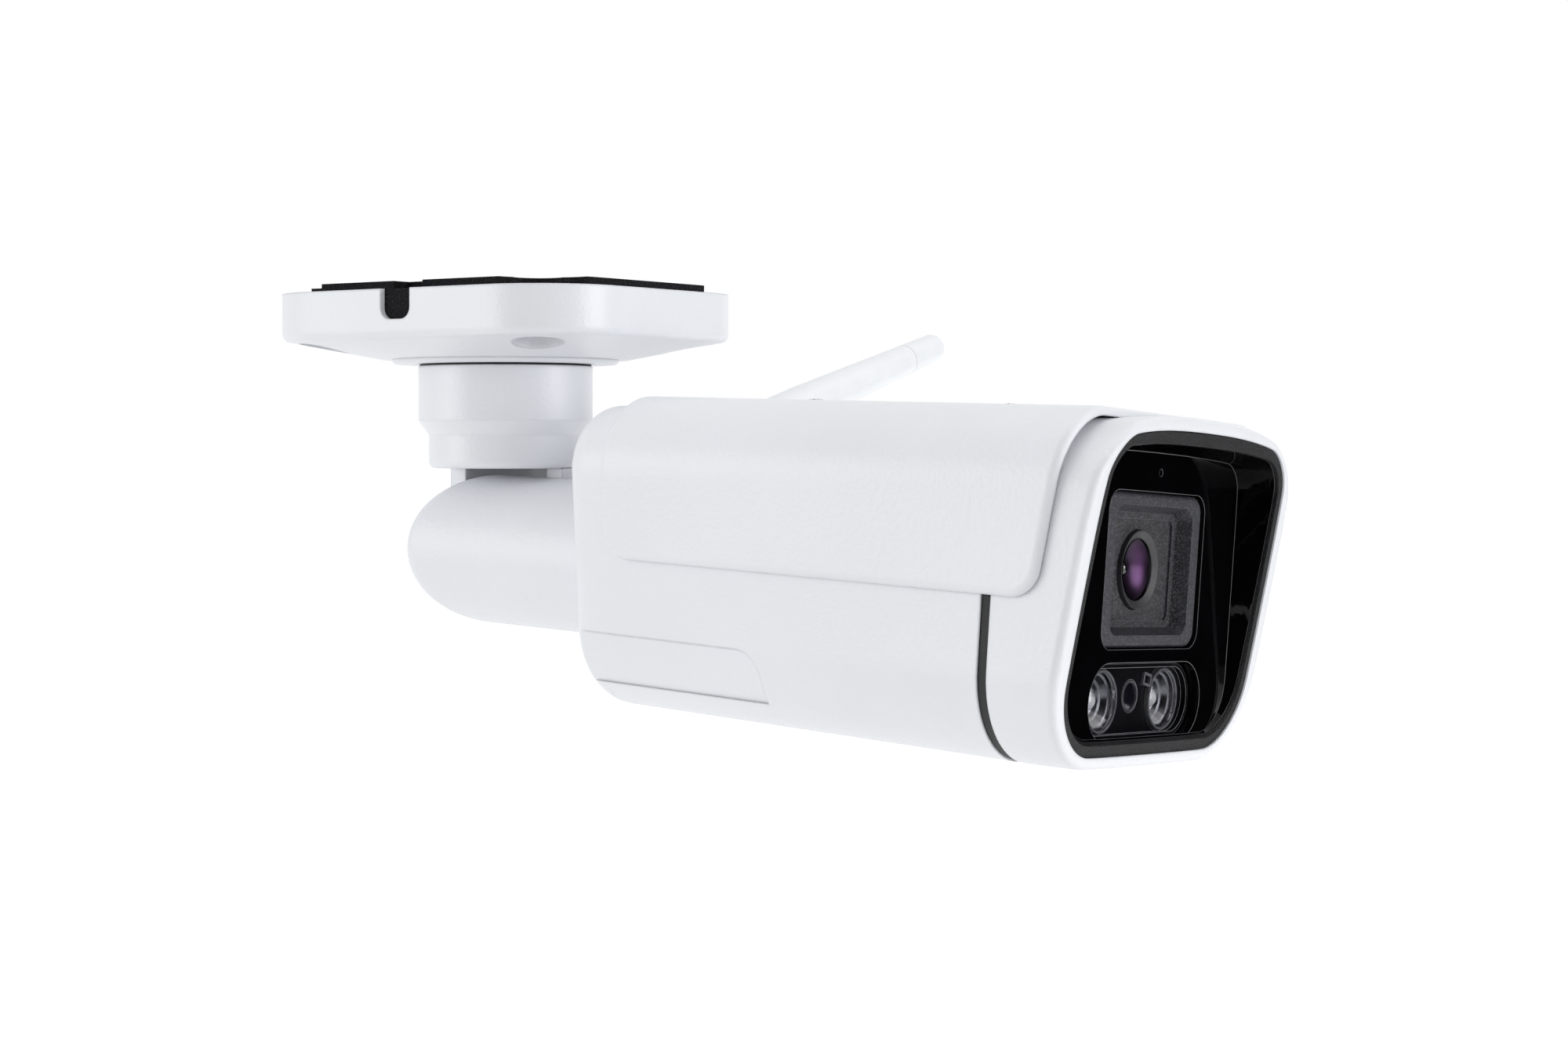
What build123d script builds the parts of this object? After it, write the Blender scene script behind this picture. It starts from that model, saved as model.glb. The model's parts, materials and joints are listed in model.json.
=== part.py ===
"""Wireless bullet security camera on a ceiling bracket with pan, tilt and roll joints.

Units are millimetres and degrees. The origin is the centre of the face that meets the
ceiling, +Z points up into the ceiling and +X is the way the camera looks.
"""

import os
from math import cos, radians, tan

from build123d import *

# Fits shared by the moving pieces
RUNNING_FIT = 0.05
SEAT_GAP = 0.15

# Cosine over which an edge counts as running along an axis
STRAIGHT = 0.99

# Ceiling base
GASKET_THICKNESS = 1.9
GASKET_INSET = 4.2
GASKET_BORE = 20.0
SCOOP_RADIUS = 12.2
SCOOP_OUT = 6.6
BASE_LENGTH = 91.6
BASE_WIDTH = 74.4
BASE_CORNER = 18.9
RIM_HEIGHT = 11.0
RIM_EDGE = 1.8
DOME_DEPTH = 3.9
DOME_RADIUS = 28.8
BOSS_RADIUS = 26.0
BOSS_HEIGHT = 1.1
BOSS_EDGE = 0.9
BASE_WALL = 5.0
BASE_CAVITY = 8.6
PAN_FLOOR = 4.4
NOTCH_WIDTH = 8.6
NOTCH_DEPTH = 6.8
NOTCH_CORNER = 2.6
NOTCH_SCOOP = 5.0
PLUG_SINK = 1.2
PLUG_FLANGE = 2.0
PLUG_MARGIN = 2.2
SCREW_SPACING_X = 64.0
SCREW_SPACING_Y = 53.0
SCREW_HOLE = 2.5
SCREW_HEAD = 5.6
SCREW_BOSS = 7.6
SCREW_SEAT = 6.0

# Pan joint
SPIGOT_RADIUS = 12.0
CABLE_BORE = 7.0
PAN_SEAL = 0.5
PAN_SEAL_WIDTH = 5.0
PAN_WASHER = 0.8
PAN_NUT = 4.0
PAN_NUT_RADIUS = 17.0
PAN_NUT_SLOTS = 6
NUT_SLOT = 3.0
THREAD_STICKOUT = 1.0

# Swivel post
POST_RADIUS = 20.0
POST_HEIGHT = 12.5
SHOULDER_HEIGHT = 3.3
COLLAR_RADIUS = 17.6
COLLAR_HEIGHT = 7.6
COLLAR_EDGE = 1.4
STUB_RADIUS = 17.0
POCKET_RADIUS = 12.3
POCKET_RISE = 3.8
COLLAR_GAP = 1.5

# Tilt joint, a half lap on one screw
HEAD_TILT = 2.8
LAP_FACE = 0.0
FRICTION_DISC = 0.5
LAP_CLEARANCE = 1.4
DISC_RADIUS = 8.0
TILT_SCREW = 3.0
TILT_SCREW_HEAD = 5.0
TILT_HEAD_HEIGHT = 5.0
TILT_SCREW_SEAT = 7.0
TILT_SCREW_DEPTH = 10.0
TILT_WASHER = 1.2
TILT_WASHER_RADIUS = 5.4
HEX_KEY = 4.0
RACE_INNER = 8.6
RACE_OUTER = 13.0
RACE_DEPTH = 7.0

# Arm between the tilt joint and the head
ARM_RADIUS = 17.2
ARM_LENGTH = 47.6
ARM_CORNER = 4.1
ARM_BORE = 6.5
GROMMET_FLANGE = 8.6
GROMMET_FLANGE_THICKNESS = 1.6
GROMMET_LENGTH = 5.0
GROMMET_BORE = 2.4

# Roll joint at the back of the head
HEAD_ROLL = 3.1
ROLL_SPIGOT = 10.0
ROLL_SEAL = 0.8
ROLL_WALL = 5.2
ROLL_WASHER = 0.8
ROLL_NUT = 4.0
ROLL_NUT_RADIUS = 14.5

# Head section, measured from the roll axis at its back and at its lip
HEAD_REAR = 44.6
BODY_FRONT = 152.2
REAR_TOP = 33.6
REAR_BOTTOM = 30.2
REAR_TOP_HALF_WIDTH = 39.7
REAR_BOTTOM_HALF_WIDTH = 27.1
FRONT_TOP = 36.2
FRONT_BOTTOM = 30.8
FRONT_TOP_HALF_WIDTH = 42.6
FRONT_BOTTOM_HALF_WIDTH = 43.1
TOP_CORNER = 13.3
BOTTOM_CORNER = 18.6
REAR_EDGE = 7.0
BODY_WALL = 3.0
PANEL_STEP_PINCH = 2.4
PANEL_STEP_TOP = -14.5
PANEL_STEP_BOTTOM = -25.0
PANEL_STEP_FRONT = 98.0
PANEL_STEP_CORNER = 6.0

# Sunshield over the top
SHIELD_GAP = 0.3
SHIELD_THICKNESS = 1.8
SHIELD_REAR = 57.2
SHIELD_EDGE = 1.5
SHIELD_CORNER = 6.5
SHIELD_SETBACK = 7.6
SHIELD_ROUND = 1.3
SHIELD_SCREW_REAR = 84.0
SHIELD_SCREW_PITCH = 48.0
SHIELD_SCREW = 1.5
SHIELD_SCREW_HEAD = 3.0
SHIELD_SCREW_LENGTH = 6.0
SHIELD_BOSS = 4.0

# Front bezel with its raked lip
BEZEL_SEAL = 2.2
SEAL_SINK = 0.3
LIP_AT_AXIS = 172.0
LIP_RAKE = 8.0
LIP_EDGE = 1.6
BEZEL_WALL = 4.2
BEZEL_ROOF = 2.4
SEAL_WIDTH = 5.0
LUG_THICKNESS = 4.3
BEZEL_SCREW = 1.5
BEZEL_SCREW_HEAD = 2.8
BEZEL_SCREW_LENGTH = 12.0
BEZEL_BOSS = 6.0
BEZEL_BOSS_MARGIN = 0.7
BEZEL_BOSS_DEPTH = 16.0

# Black front behind the lip
LINER_SINK = 0.3
LINER_THICKNESS = 0.8
MOUTH_INSET = 1.7
FUNNEL_TAPER = 1.6
PANEL_FRONT = 166.8
PANEL_THICKNESS = 4.2
MIC_HOLE = 0.7
MIC_UP = 26.6
MIC_RADIUS = 1.8
MIC_LENGTH = 2.4

# Lens group
LENS_UP = 7.5
FRAME_WIDTH = 40.4
FRAME_HEIGHT = 30.4
FRAME_CORNER = 3.6
FRAME_SINK = 0.5
FRAME_FLANGE = 2.2
FRAME_MARGIN = 1.2
FRAME_RECESS_WIDTH = 29.6
FRAME_RECESS_HEIGHT = 22.6
FRAME_RECESS_CORNER = 2.0
FRAME_RECESS_DEPTH = 3.6
FRAME_SLOPE = 1.4
FRAME_EDGE = 1.1
FRAME_LEDGE = 0.5
FRAME_LEDGE_WIDTH = 1.3
LENS_HEAD = 7.8
LENS_HEAD_LENGTH = 5.0
LENS_PROUD = 0.9
LENS_THREAD = 6.0
LENS_LENGTH = 20.0
LENS_RING_WIDTH = 1.6
LENS_RING_DEPTH = 1.0
LENS_RING_SLOPE = 0.75
LENS_RING_EDGE = 0.2
LENS_GLASS_DEPTH = 3.0
LENS_GLASS_DOME = 1.2
REAR_GLASS = 3.8
REAR_GLASS_DEPTH = 2.4
LENS_STOP = 2.2
HOLDER_SIDE = 22.0
HOLDER_FOOT = 3.0
HOLDER_TUBE = 8.2
HOLDER_LENGTH = 13.0
SENSOR_BOARD = 36.0
BOARD_THICKNESS = 1.6
SENSOR_LENGTH = 8.0
SENSOR_HEIGHT = 6.0
SENSOR_THICKNESS = 1.2

# Lamp group under the lens
LED_DOWN = 18.2
LED_PITCH = 25.7
LED_RADIUS = 6.3
LED_ROOT = 3.4
LED_DOME = 1.0
LED_CHIP = 3.5
LED_CHIP_THICKNESS = 0.8
TRAY_LENGTH = 46.7
TRAY_HEIGHT = 15.2
TRAY_RECESS = 3.6
TRAY_THICKNESS = 1.2
TRAY_RIDGE = 1.2
TRAY_RIDGE_INSET = 0.3
TRAY_RIDGE_WIDTH = 0.8
LED_PROUD = 1.2
LED_DEPTH = 6.0
LED_BOARD_LENGTH = 42.0
LED_BOARD_HEIGHT = 16.0
LIGHT_SENSOR = 3.1
LIGHT_SENSOR_BASE = 3.7
LIGHT_SENSOR_UP = 0.8

# Boards inside the body
MAIN_BOARD_REAR = 66.0
MAIN_BOARD_LENGTH = 62.0
MAIN_BOARD_WIDTH = 52.0
MAIN_BOARD_DOWN = 12.0
RAIL_WIDTH = 6.0
PROCESSOR = 18.0
PROCESSOR_THICKNESS = 2.0
RADIO_LENGTH = 18.0
RADIO_WIDTH = 14.0
RADIO_HEIGHT = 2.6

# Antenna on the back of the head
ANTENNA_SIDE = 27.0
ANTENNA_UP = 21.5
ANTENNA_RISE = 18.0
ANTENNA_BOSS = 6.6
ANTENNA_BOSS_LENGTH = 2.2
SOCKET_RADIUS = 3.1
SOCKET_FLANGE = 4.6
SOCKET_FLANGE_THICKNESS = 1.5
SOCKET_LENGTH = 9.0
SOCKET_BORE = 1.6
SOCKET_NUT = 5.0
SOCKET_NUT_THICKNESS = 2.0
SLEEVE_RADIUS = 5.2
SLEEVE_LENGTH = 12.2
SLEEVE_FLUTES = 12
SLEEVE_FLUTE = 0.5
HINGE_SETBACK = 5.4
EAR_RADIUS = 4.6
EAR_THICKNESS = 2.3
TONGUE_THICKNESS = 4.4
HINGE_GAP = 0.15
HINGE_PIN = 1.5
ROD_LENGTH = 124.5
ROD_ROOT = 6.4
ROD_RADIUS = 5.0
ROD_STRAIGHT = 60.0
TIP_RADIUS = 3.7
CAP_LENGTH = 17.0
CAP_PLUG = 2.4
CAP_PLUG_LENGTH = 6.0
CAP_JOINT = 0.15

os.makedirs("parts", exist_ok=True)

# Heights down the bracket
rim_top = -GASKET_THICKNESS
rim_bottom = rim_top - RIM_HEIGHT
dome_bottom = rim_bottom - DOME_DEPTH
boss_bottom = dome_bottom - BOSS_HEIGHT
cavity_floor = rim_top - BASE_CAVITY
pan_seat = boss_bottom + PAN_FLOOR
pan_nut_bottom = pan_seat + PAN_WASHER
spigot_top = pan_nut_bottom + PAN_NUT + THREAD_STICKOUT
post_top = boss_bottom - PAN_SEAL
shoulder_top = post_top - POST_HEIGHT
collar_top = shoulder_top - SHOULDER_HEIGHT
collar_bottom = collar_top - COLLAR_HEIGHT
pivot_height = collar_bottom - COLLAR_GAP - ARM_RADIUS

# Stations along the roll axis
recess_floor = ARM_LENGTH + ROLL_SEAL
rear_wall_front = recess_floor + ROLL_WALL
roll_nut_rear = rear_wall_front + ROLL_WASHER
spigot_end = roll_nut_rear + ROLL_NUT + THREAD_STICKOUT
bezel_rear = BODY_FRONT + BEZEL_SEAL
lug_front = bezel_rear + LUG_THICKNESS
panel_rear = PANEL_FRONT - PANEL_THICKNESS
frame_front = PANEL_FRONT - FRAME_SINK
frame_floor = frame_front - FRAME_RECESS_DEPTH
frame_rear = panel_rear - FRAME_FLANGE
lens_front = frame_floor + LENS_PROUD
lens_head_rear = lens_front - LENS_HEAD_LENGTH
lens_rear = lens_front - LENS_LENGTH
holder_rear = lens_rear - LENS_STOP - SENSOR_THICKNESS
sensor_board_rear = holder_rear - BOARD_THICKNESS
tray_front = PANEL_FRONT - TRAY_RECESS
tray_rear = tray_front - TRAY_THICKNESS
led_front = tray_front + LED_PROUD
led_board_front = led_front - LED_DEPTH
led_board_rear = led_board_front - BOARD_THICKNESS
socket_front = HEAD_REAR - ANTENNA_BOSS_LENGTH
socket_end = socket_front - SOCKET_LENGTH
sleeve_front = socket_front - SOCKET_NUT_THICKNESS - SEAT_GAP
sleeve_rear = sleeve_front - SLEEVE_LENGTH
hinge_x = sleeve_rear - HINGE_SETBACK
hood_end = LIP_AT_AXIS + 2 * FRONT_TOP * tan(radians(LIP_RAKE))


def turned(frame, angle, origin=(0, 0, 0)):
    """Frame moved to a point of its own and turned about its own X axis."""
    z_dir = frame.z_dir.rotate(Axis((0, 0, 0), frame.x_dir), angle)
    return Plane(frame.from_local_coords(origin), x_dir=frame.x_dir, z_dir=z_dir)


# Frames of the tilting arm and of the rolling head
tilt_frame = Plane.XY.offset(pivot_height).rotated((0, HEAD_TILT, 0))
head_frame = turned(tilt_frame, -HEAD_ROLL)

# Frame of the antenna: its Y axis is the rod and its Z axis is the hinge
antenna_frame = turned(head_frame, ANTENNA_RISE, (0, ANTENNA_SIDE, ANTENNA_UP))


def across(frame, x):
    """Plane square to the frame's X axis at x, with Y to the right and Z up."""
    return Plane(frame.from_local_coords((x, 0, 0)), x_dir=frame.y_dir, z_dir=frame.x_dir)


def beside(frame, y):
    """Plane square to the frame's Y axis at y, with X to the right and Z up."""
    return Plane(frame.from_local_coords((0, y, 0)), x_dir=frame.x_dir, z_dir=-frame.y_dir)


def above(frame, z):
    """Plane square to the frame's Z axis at z, with X to the right and Y up."""
    return Plane(frame.from_local_coords((0, 0, z)), x_dir=frame.x_dir, z_dir=frame.z_dir)


def raked(setback):
    """Plane of the leaning lip, moved back along its own normal."""
    lip = turned(across(head_frame, LIP_AT_AXIS), LIP_RAKE)
    return lip.offset(-setback)


def disc(plane, radius, length, y=0, z=0):
    """Round bar that stands on a plane."""
    with BuildPart() as bar:
        with BuildSketch(plane):
            with Locations((y, z)):
                Circle(radius)
        extrude(amount=length)
    return bar.part


def ring(plane, outer, inner, length, y=0, z=0):
    """Round ring that stands on a plane."""
    with BuildPart() as band:
        with BuildSketch(plane):
            with Locations((y, z)):
                Circle(outer)
                Circle(inner, mode=Mode.SUBTRACT)
        extrude(amount=length)
    return band.part


def plate(plane, width, height, length, corner=0, y=0, z=0):
    """Rectangular plate, with rounded corners if asked, that stands on a plane."""
    with BuildPart() as slab:
        with BuildSketch(plane):
            with Locations((y, z)):
                if corner > 0:
                    RectangleRounded(width, height, corner)
                else:
                    Rectangle(width, height)
        extrude(amount=length)
    return slab.part


def along(rear, front, x):
    """Size that grows evenly from the back of the head to its lip, taken at x."""
    return rear + (front - rear) * (x - HEAD_REAR) / (LIP_AT_AXIS - HEAD_REAR)


def head_top(x):
    """Height of the head's top over the roll axis at x."""
    return along(REAR_TOP, FRONT_TOP, x)


def head_bottom(x):
    """Depth of the head's underside under the roll axis at x."""
    return along(REAR_BOTTOM, FRONT_BOTTOM, x)


def head_side(x, z):
    """Half width of the head at x and at height z."""
    wide = along(REAR_TOP_HALF_WIDTH, FRONT_TOP_HALF_WIDTH, x)
    narrow = along(REAR_BOTTOM_HALF_WIDTH, FRONT_BOTTOM_HALF_WIDTH, x)
    share = (z + head_bottom(x)) / (head_top(x) + head_bottom(x))
    return narrow + (wide - narrow) * share


def rounded_frame(plane, x, side, roof, pinch=0):
    """Outline of the head at x, drawn on a plane: a trapezoid with rounded corners."""
    top = head_top(x) + roof
    bottom = -head_bottom(x) - roof
    wide = head_side(x, head_top(x)) + side - pinch
    narrow = head_side(x, -head_bottom(x)) + side
    with BuildSketch(plane) as section:
        with BuildLine():
            Polyline((-narrow, bottom), (narrow, bottom), (wide, top), (-wide, top), close=True)
        make_face()
        fillet(section.vertices().group_by(Axis.Y)[-1], TOP_CORNER + side)
        fillet(section.vertices().group_by(Axis.Y)[0], BOTTOM_CORNER + side)
    return section.sketch


def head_loft(rear, front, side=0, roof=None, pinch=0):
    """Length of the head between two stations, grown outwards and pinched in at the top."""
    rise = side if roof is None else roof
    with BuildPart() as length:
        loft(
            sections=[
                rounded_frame(across(head_frame, HEAD_REAR), HEAD_REAR, side, rise, pinch),
                rounded_frame(across(head_frame, hood_end), hood_end, side, rise, pinch),
            ],
            ruled=True,
        )
        if rear > HEAD_REAR:
            split(bisect_by=across(head_frame, rear), keep=Keep.TOP)
        if front < hood_end:
            split(bisect_by=across(head_frame, front), keep=Keep.BOTTOM)
    return length.part


def base_outline(plane, inset):
    """Rounded rectangle of the ceiling base, drawn in by an inset."""
    with BuildSketch(plane) as outline:
        RectangleRounded(BASE_LENGTH - 2 * inset, BASE_WIDTH - 2 * inset, BASE_CORNER - inset)
    return outline.sketch


def finish(builder, name):
    """Label a finished piece and write it out."""
    builder.part.label = name
    export_step(builder.part, f"parts/{name}.step")


# Ceiling base: a hollow domed plate with corner screw bosses and a cable notch
with BuildPart() as base_plate:
    extrude(base_outline(Plane.XY.offset(rim_top), 0), amount=-RIM_HEIGHT)
    fillet(base_plate.faces().sort_by(Axis.Z)[0].edges(), RIM_EDGE)
    with BuildSketch(Plane.XY.offset(dome_bottom), mode=Mode.PRIVATE) as dome_end:
        Circle(DOME_RADIUS)
    loft(sections=[base_outline(Plane.XY.offset(rim_bottom), RIM_EDGE), dome_end.sketch], ruled=True)
    with BuildSketch(Plane.XY.offset(dome_bottom)):
        Circle(BOSS_RADIUS)
    extrude(amount=-BOSS_HEIGHT)
    fillet(base_plate.faces().sort_by(Axis.Z)[0].edges(), BOSS_EDGE)
    extrude(base_outline(Plane.XY.offset(rim_top), BASE_WALL), amount=-BASE_CAVITY, mode=Mode.SUBTRACT)
    with BuildSketch(Plane.XY.offset(cavity_floor)):
        with GridLocations(SCREW_SPACING_X, SCREW_SPACING_Y, 2, 2):
            Circle(SCREW_BOSS)
    extrude(amount=BASE_CAVITY)
    with BuildSketch(Plane.XY.offset(boss_bottom)):
        with GridLocations(SCREW_SPACING_X, SCREW_SPACING_Y, 2, 2):
            Circle(SCREW_HEAD)
    extrude(amount=rim_top - SCREW_SEAT - boss_bottom, mode=Mode.SUBTRACT)
    with BuildSketch(Plane.XY.offset(boss_bottom)):
        Circle(SPIGOT_RADIUS + RUNNING_FIT)
        with GridLocations(SCREW_SPACING_X, SCREW_SPACING_Y, 2, 2):
            Circle(SCREW_HOLE)
    extrude(amount=rim_top - boss_bottom, mode=Mode.SUBTRACT)
    with BuildSketch(Plane.XY.offset(pan_seat)):
        Circle(PAN_NUT_RADIUS + SEAT_GAP + THREAD_STICKOUT)
    extrude(amount=cavity_floor - pan_seat, mode=Mode.SUBTRACT)
    with BuildSketch(Plane.XZ.offset(BASE_WIDTH / 2)):
        with Locations((0, rim_top)):
            RectangleRounded(NOTCH_WIDTH, 2 * NOTCH_DEPTH, NOTCH_CORNER)
    extrude(amount=-2 * BASE_WALL, mode=Mode.SUBTRACT)
finish(base_plate, "base_plate")

# Foam plug that closes the cable notch from inside the base
plug_front = BASE_WIDTH / 2 - PLUG_SINK
plug_flange_front = BASE_WIDTH / 2 - BASE_WALL - SEAT_GAP

with BuildPart() as notch_plug:
    with BuildSketch(Plane.XZ.offset(plug_front)):
        with Locations((0, rim_top)):
            RectangleRounded(
                NOTCH_WIDTH - 2 * SEAT_GAP, 2 * (NOTCH_DEPTH - SEAT_GAP), NOTCH_CORNER - SEAT_GAP
            )
    extrude(amount=plug_flange_front - plug_front)
    with BuildSketch(Plane.XZ.offset(plug_flange_front)):
        with Locations((0, rim_top)):
            Rectangle(NOTCH_WIDTH + 2 * PLUG_MARGIN, 2 * NOTCH_DEPTH)
    extrude(amount=-PLUG_FLANGE)
    split(bisect_by=Plane.XY.offset(rim_top), keep=Keep.BOTTOM)
finish(notch_plug, "notch_plug")

# Foam gasket: one die-cut sheet, scooped out round the screws and open at the cable notch
with BuildPart() as foam_gasket:
    extrude(base_outline(Plane.XY.offset(rim_top), GASKET_INSET), amount=GASKET_THICKNESS)
    with BuildSketch(Plane.XY.offset(rim_top)):
        Circle(GASKET_BORE)
        with GridLocations(SCREW_SPACING_X, SCREW_SPACING_Y, 2, 2):
            Circle(SCREW_HEAD)
        with GridLocations(SCREW_SPACING_X + 2 * SCOOP_OUT, SCREW_SPACING_Y + 2 * SCOOP_OUT, 2, 2):
            Circle(SCOOP_RADIUS)
        with Locations((0, -BASE_WIDTH / 2)):
            Rectangle(NOTCH_WIDTH, 2 * (GASKET_INSET + NOTCH_SCOOP))
    extrude(amount=GASKET_THICKNESS, mode=Mode.SUBTRACT)
finish(foam_gasket, "foam_gasket")

# Pan joint: seal, washer and ring nut on the post's hollow spigot
with BuildPart() as pan_seal:
    add(ring(Plane.XY.offset(post_top), POST_RADIUS - 2 * SEAT_GAP, POST_RADIUS - PAN_SEAL_WIDTH, PAN_SEAL))
finish(pan_seal, "pan_seal")

with BuildPart() as pan_washer:
    add(
        ring(
            Plane.XY.offset(pan_seat),
            PAN_NUT_RADIUS - SEAT_GAP,
            SPIGOT_RADIUS + RUNNING_FIT,
            PAN_WASHER,
        )
    )
finish(pan_washer, "pan_washer")

with BuildPart() as pan_nut:
    add(ring(Plane.XY.offset(pan_nut_bottom), PAN_NUT_RADIUS, SPIGOT_RADIUS + RUNNING_FIT, PAN_NUT))
    with BuildSketch(Plane.XY.offset(pan_nut_bottom)):
        with PolarLocations(PAN_NUT_RADIUS, PAN_NUT_SLOTS):
            Rectangle(NUT_SLOT, NUT_SLOT)
    extrude(amount=PAN_NUT, mode=Mode.SUBTRACT)
finish(pan_nut, "pan_nut")

# Swivel post: stepped barrel whose lower half is the far side of the half lap
with BuildPart() as swivel_post:
    with BuildSketch(Plane.XZ):
        with BuildLine():
            Polyline(
                (0, spigot_top),
                (SPIGOT_RADIUS, spigot_top),
                (SPIGOT_RADIUS, post_top),
                (POST_RADIUS, post_top),
                (POST_RADIUS, shoulder_top),
                (COLLAR_RADIUS, collar_top),
                (COLLAR_RADIUS, collar_bottom),
                (0, collar_bottom),
                close=True,
            )
        make_face()
    revolve(axis=Axis.Z)
    fillet(swivel_post.edges().group_by(Axis.Z)[0], COLLAR_EDGE)
    with BuildSketch(Plane.XY.offset(collar_bottom)):
        Circle(STUB_RADIUS)
        with Locations((0, LAP_FACE)):
            Rectangle(2 * STUB_RADIUS, 2 * STUB_RADIUS, align=(Align.CENTER, Align.MAX), mode=Mode.SUBTRACT)
    extrude(amount=pivot_height - STUB_RADIUS - collar_bottom)
    with BuildSketch(Plane.XZ.offset(-LAP_FACE)):
        with Locations((0, pivot_height)):
            Rectangle(2 * STUB_RADIUS, STUB_RADIUS, align=(Align.CENTER, Align.MAX))
            Circle(STUB_RADIUS, mode=Mode.SUBTRACT)
    extrude(amount=-STUB_RADIUS, mode=Mode.SUBTRACT)
    with BuildSketch(Plane.XY.offset(collar_bottom + POCKET_RISE)):
        Circle(POCKET_RADIUS)
        with Locations((0, LAP_FACE)):
            Rectangle(2 * STUB_RADIUS, 2 * STUB_RADIUS, align=(Align.CENTER, Align.MAX), mode=Mode.SUBTRACT)
    extrude(amount=pivot_height + RACE_INNER - collar_bottom - POCKET_RISE, mode=Mode.SUBTRACT)
    with BuildSketch(Plane.XY.offset(spigot_top)):
        Circle(CABLE_BORE)
    extrude(amount=collar_bottom + POCKET_RISE - spigot_top, mode=Mode.SUBTRACT)
    with BuildSketch(Plane.XZ.offset(-LAP_FACE)):
        with Locations((0, pivot_height)):
            Circle(TILT_SCREW + RUNNING_FIT)
    extrude(amount=-STUB_RADIUS, mode=Mode.SUBTRACT)
    with BuildSketch(Plane.XZ.offset(-LAP_FACE - TILT_SCREW_SEAT)):
        with Locations((0, pivot_height)):
            Circle(TILT_WASHER_RADIUS + SEAT_GAP)
    extrude(amount=-STUB_RADIUS, mode=Mode.SUBTRACT)
finish(swivel_post, "swivel_post")

# Tilt joint: friction disc between the laps, and a screw with its spring washer
arm_face = LAP_FACE - FRICTION_DISC

with BuildPart() as friction_disc:
    add(ring(beside(tilt_frame, LAP_FACE), DISC_RADIUS, TILT_SCREW + RUNNING_FIT, FRICTION_DISC))
finish(friction_disc, "friction_disc")

with BuildPart() as tilt_washer:
    washer_top = LAP_FACE + TILT_SCREW_SEAT + TILT_WASHER
    add(ring(beside(tilt_frame, washer_top), TILT_WASHER_RADIUS, TILT_SCREW + RUNNING_FIT, TILT_WASHER))
    with BuildSketch(beside(tilt_frame, washer_top)):
        with Locations((0, -TILT_WASHER_RADIUS)):
            Rectangle(TILT_WASHER, 2 * TILT_WASHER_RADIUS - 2 * TILT_SCREW)
    extrude(amount=TILT_WASHER, mode=Mode.SUBTRACT)
finish(tilt_washer, "tilt_washer")

with BuildPart() as tilt_screw:
    add(disc(beside(tilt_frame, washer_top), TILT_SCREW, washer_top - arm_face + TILT_SCREW_DEPTH))
    add(disc(beside(tilt_frame, washer_top + TILT_HEAD_HEIGHT), TILT_SCREW_HEAD, TILT_HEAD_HEIGHT))
    with BuildSketch(beside(tilt_frame, washer_top + TILT_HEAD_HEIGHT)):
        RegularPolygon(HEX_KEY / 2, 6, major_radius=False)
    extrude(amount=TILT_HEAD_HEIGHT / 2, mode=Mode.SUBTRACT)
finish(tilt_screw, "tilt_screw")

# Arm: a round bar whose back end is a soft-cornered drum that turns under the collar
with BuildPart() as tilt_arm:
    add(disc(across(tilt_frame, -ARM_RADIUS), ARM_RADIUS, ARM_RADIUS + ARM_LENGTH))
    with BuildSketch(beside(tilt_frame, ARM_RADIUS)):
        Circle(ARM_RADIUS)
        Rectangle(2 * ARM_LENGTH, 2 * ARM_RADIUS, align=(Align.MIN, Align.CENTER))
    extrude(amount=2 * ARM_RADIUS, mode=Mode.INTERSECT)
    with BuildSketch(beside(tilt_frame, arm_face)):
        Circle(STUB_RADIUS + LAP_CLEARANCE)
        with Locations((STUB_RADIUS + LAP_CLEARANCE, 0)):
            Rectangle(4 * STUB_RADIUS, 2 * STUB_RADIUS, align=(Align.MAX, Align.MIN))
        Rectangle(2 * STUB_RADIUS, 4 * STUB_RADIUS, align=(Align.MAX, Align.CENTER))
    extrude(amount=-2 * ARM_RADIUS, mode=Mode.SUBTRACT)
    fillet(tilt_arm.edges().filter_by(GeomType.ELLIPSE), ARM_CORNER)
    add(disc(across(tilt_frame, ARM_LENGTH), ROLL_SPIGOT, spigot_end - ARM_LENGTH))
    with BuildSketch(beside(tilt_frame, arm_face)):
        Circle(RACE_OUTER)
        Circle(RACE_INNER, mode=Mode.SUBTRACT)
    extrude(amount=RACE_DEPTH, mode=Mode.SUBTRACT)
    add(disc(across(tilt_frame, (RACE_INNER + RACE_OUTER) / 2), ARM_BORE, spigot_end), mode=Mode.SUBTRACT)
    add(disc(beside(tilt_frame, arm_face), TILT_SCREW + RUNNING_FIT, TILT_SCREW_DEPTH), mode=Mode.SUBTRACT)
finish(tilt_arm, "tilt_arm")

# Rubber grommet in the hollow end of the arm, where the cable enters the head
with BuildPart() as cable_grommet:
    add(disc(across(tilt_frame, spigot_end), GROMMET_FLANGE, GROMMET_FLANGE_THICKNESS))
    add(disc(across(tilt_frame, spigot_end), ARM_BORE - RUNNING_FIT, -GROMMET_LENGTH))
    add(
        disc(across(tilt_frame, spigot_end - GROMMET_LENGTH), GROMMET_BORE, 2 * GROMMET_LENGTH),
        mode=Mode.SUBTRACT,
    )
finish(cable_grommet, "cable_grommet")

# Roll joint: seal outside, washer and ring nut inside the head
with BuildPart() as roll_seal:
    add(
        ring(
            across(tilt_frame, ARM_LENGTH),
            ARM_RADIUS - 2 * SEAT_GAP,
            ROLL_SPIGOT + RUNNING_FIT,
            ROLL_SEAL,
        )
    )
finish(roll_seal, "roll_seal")

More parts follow.
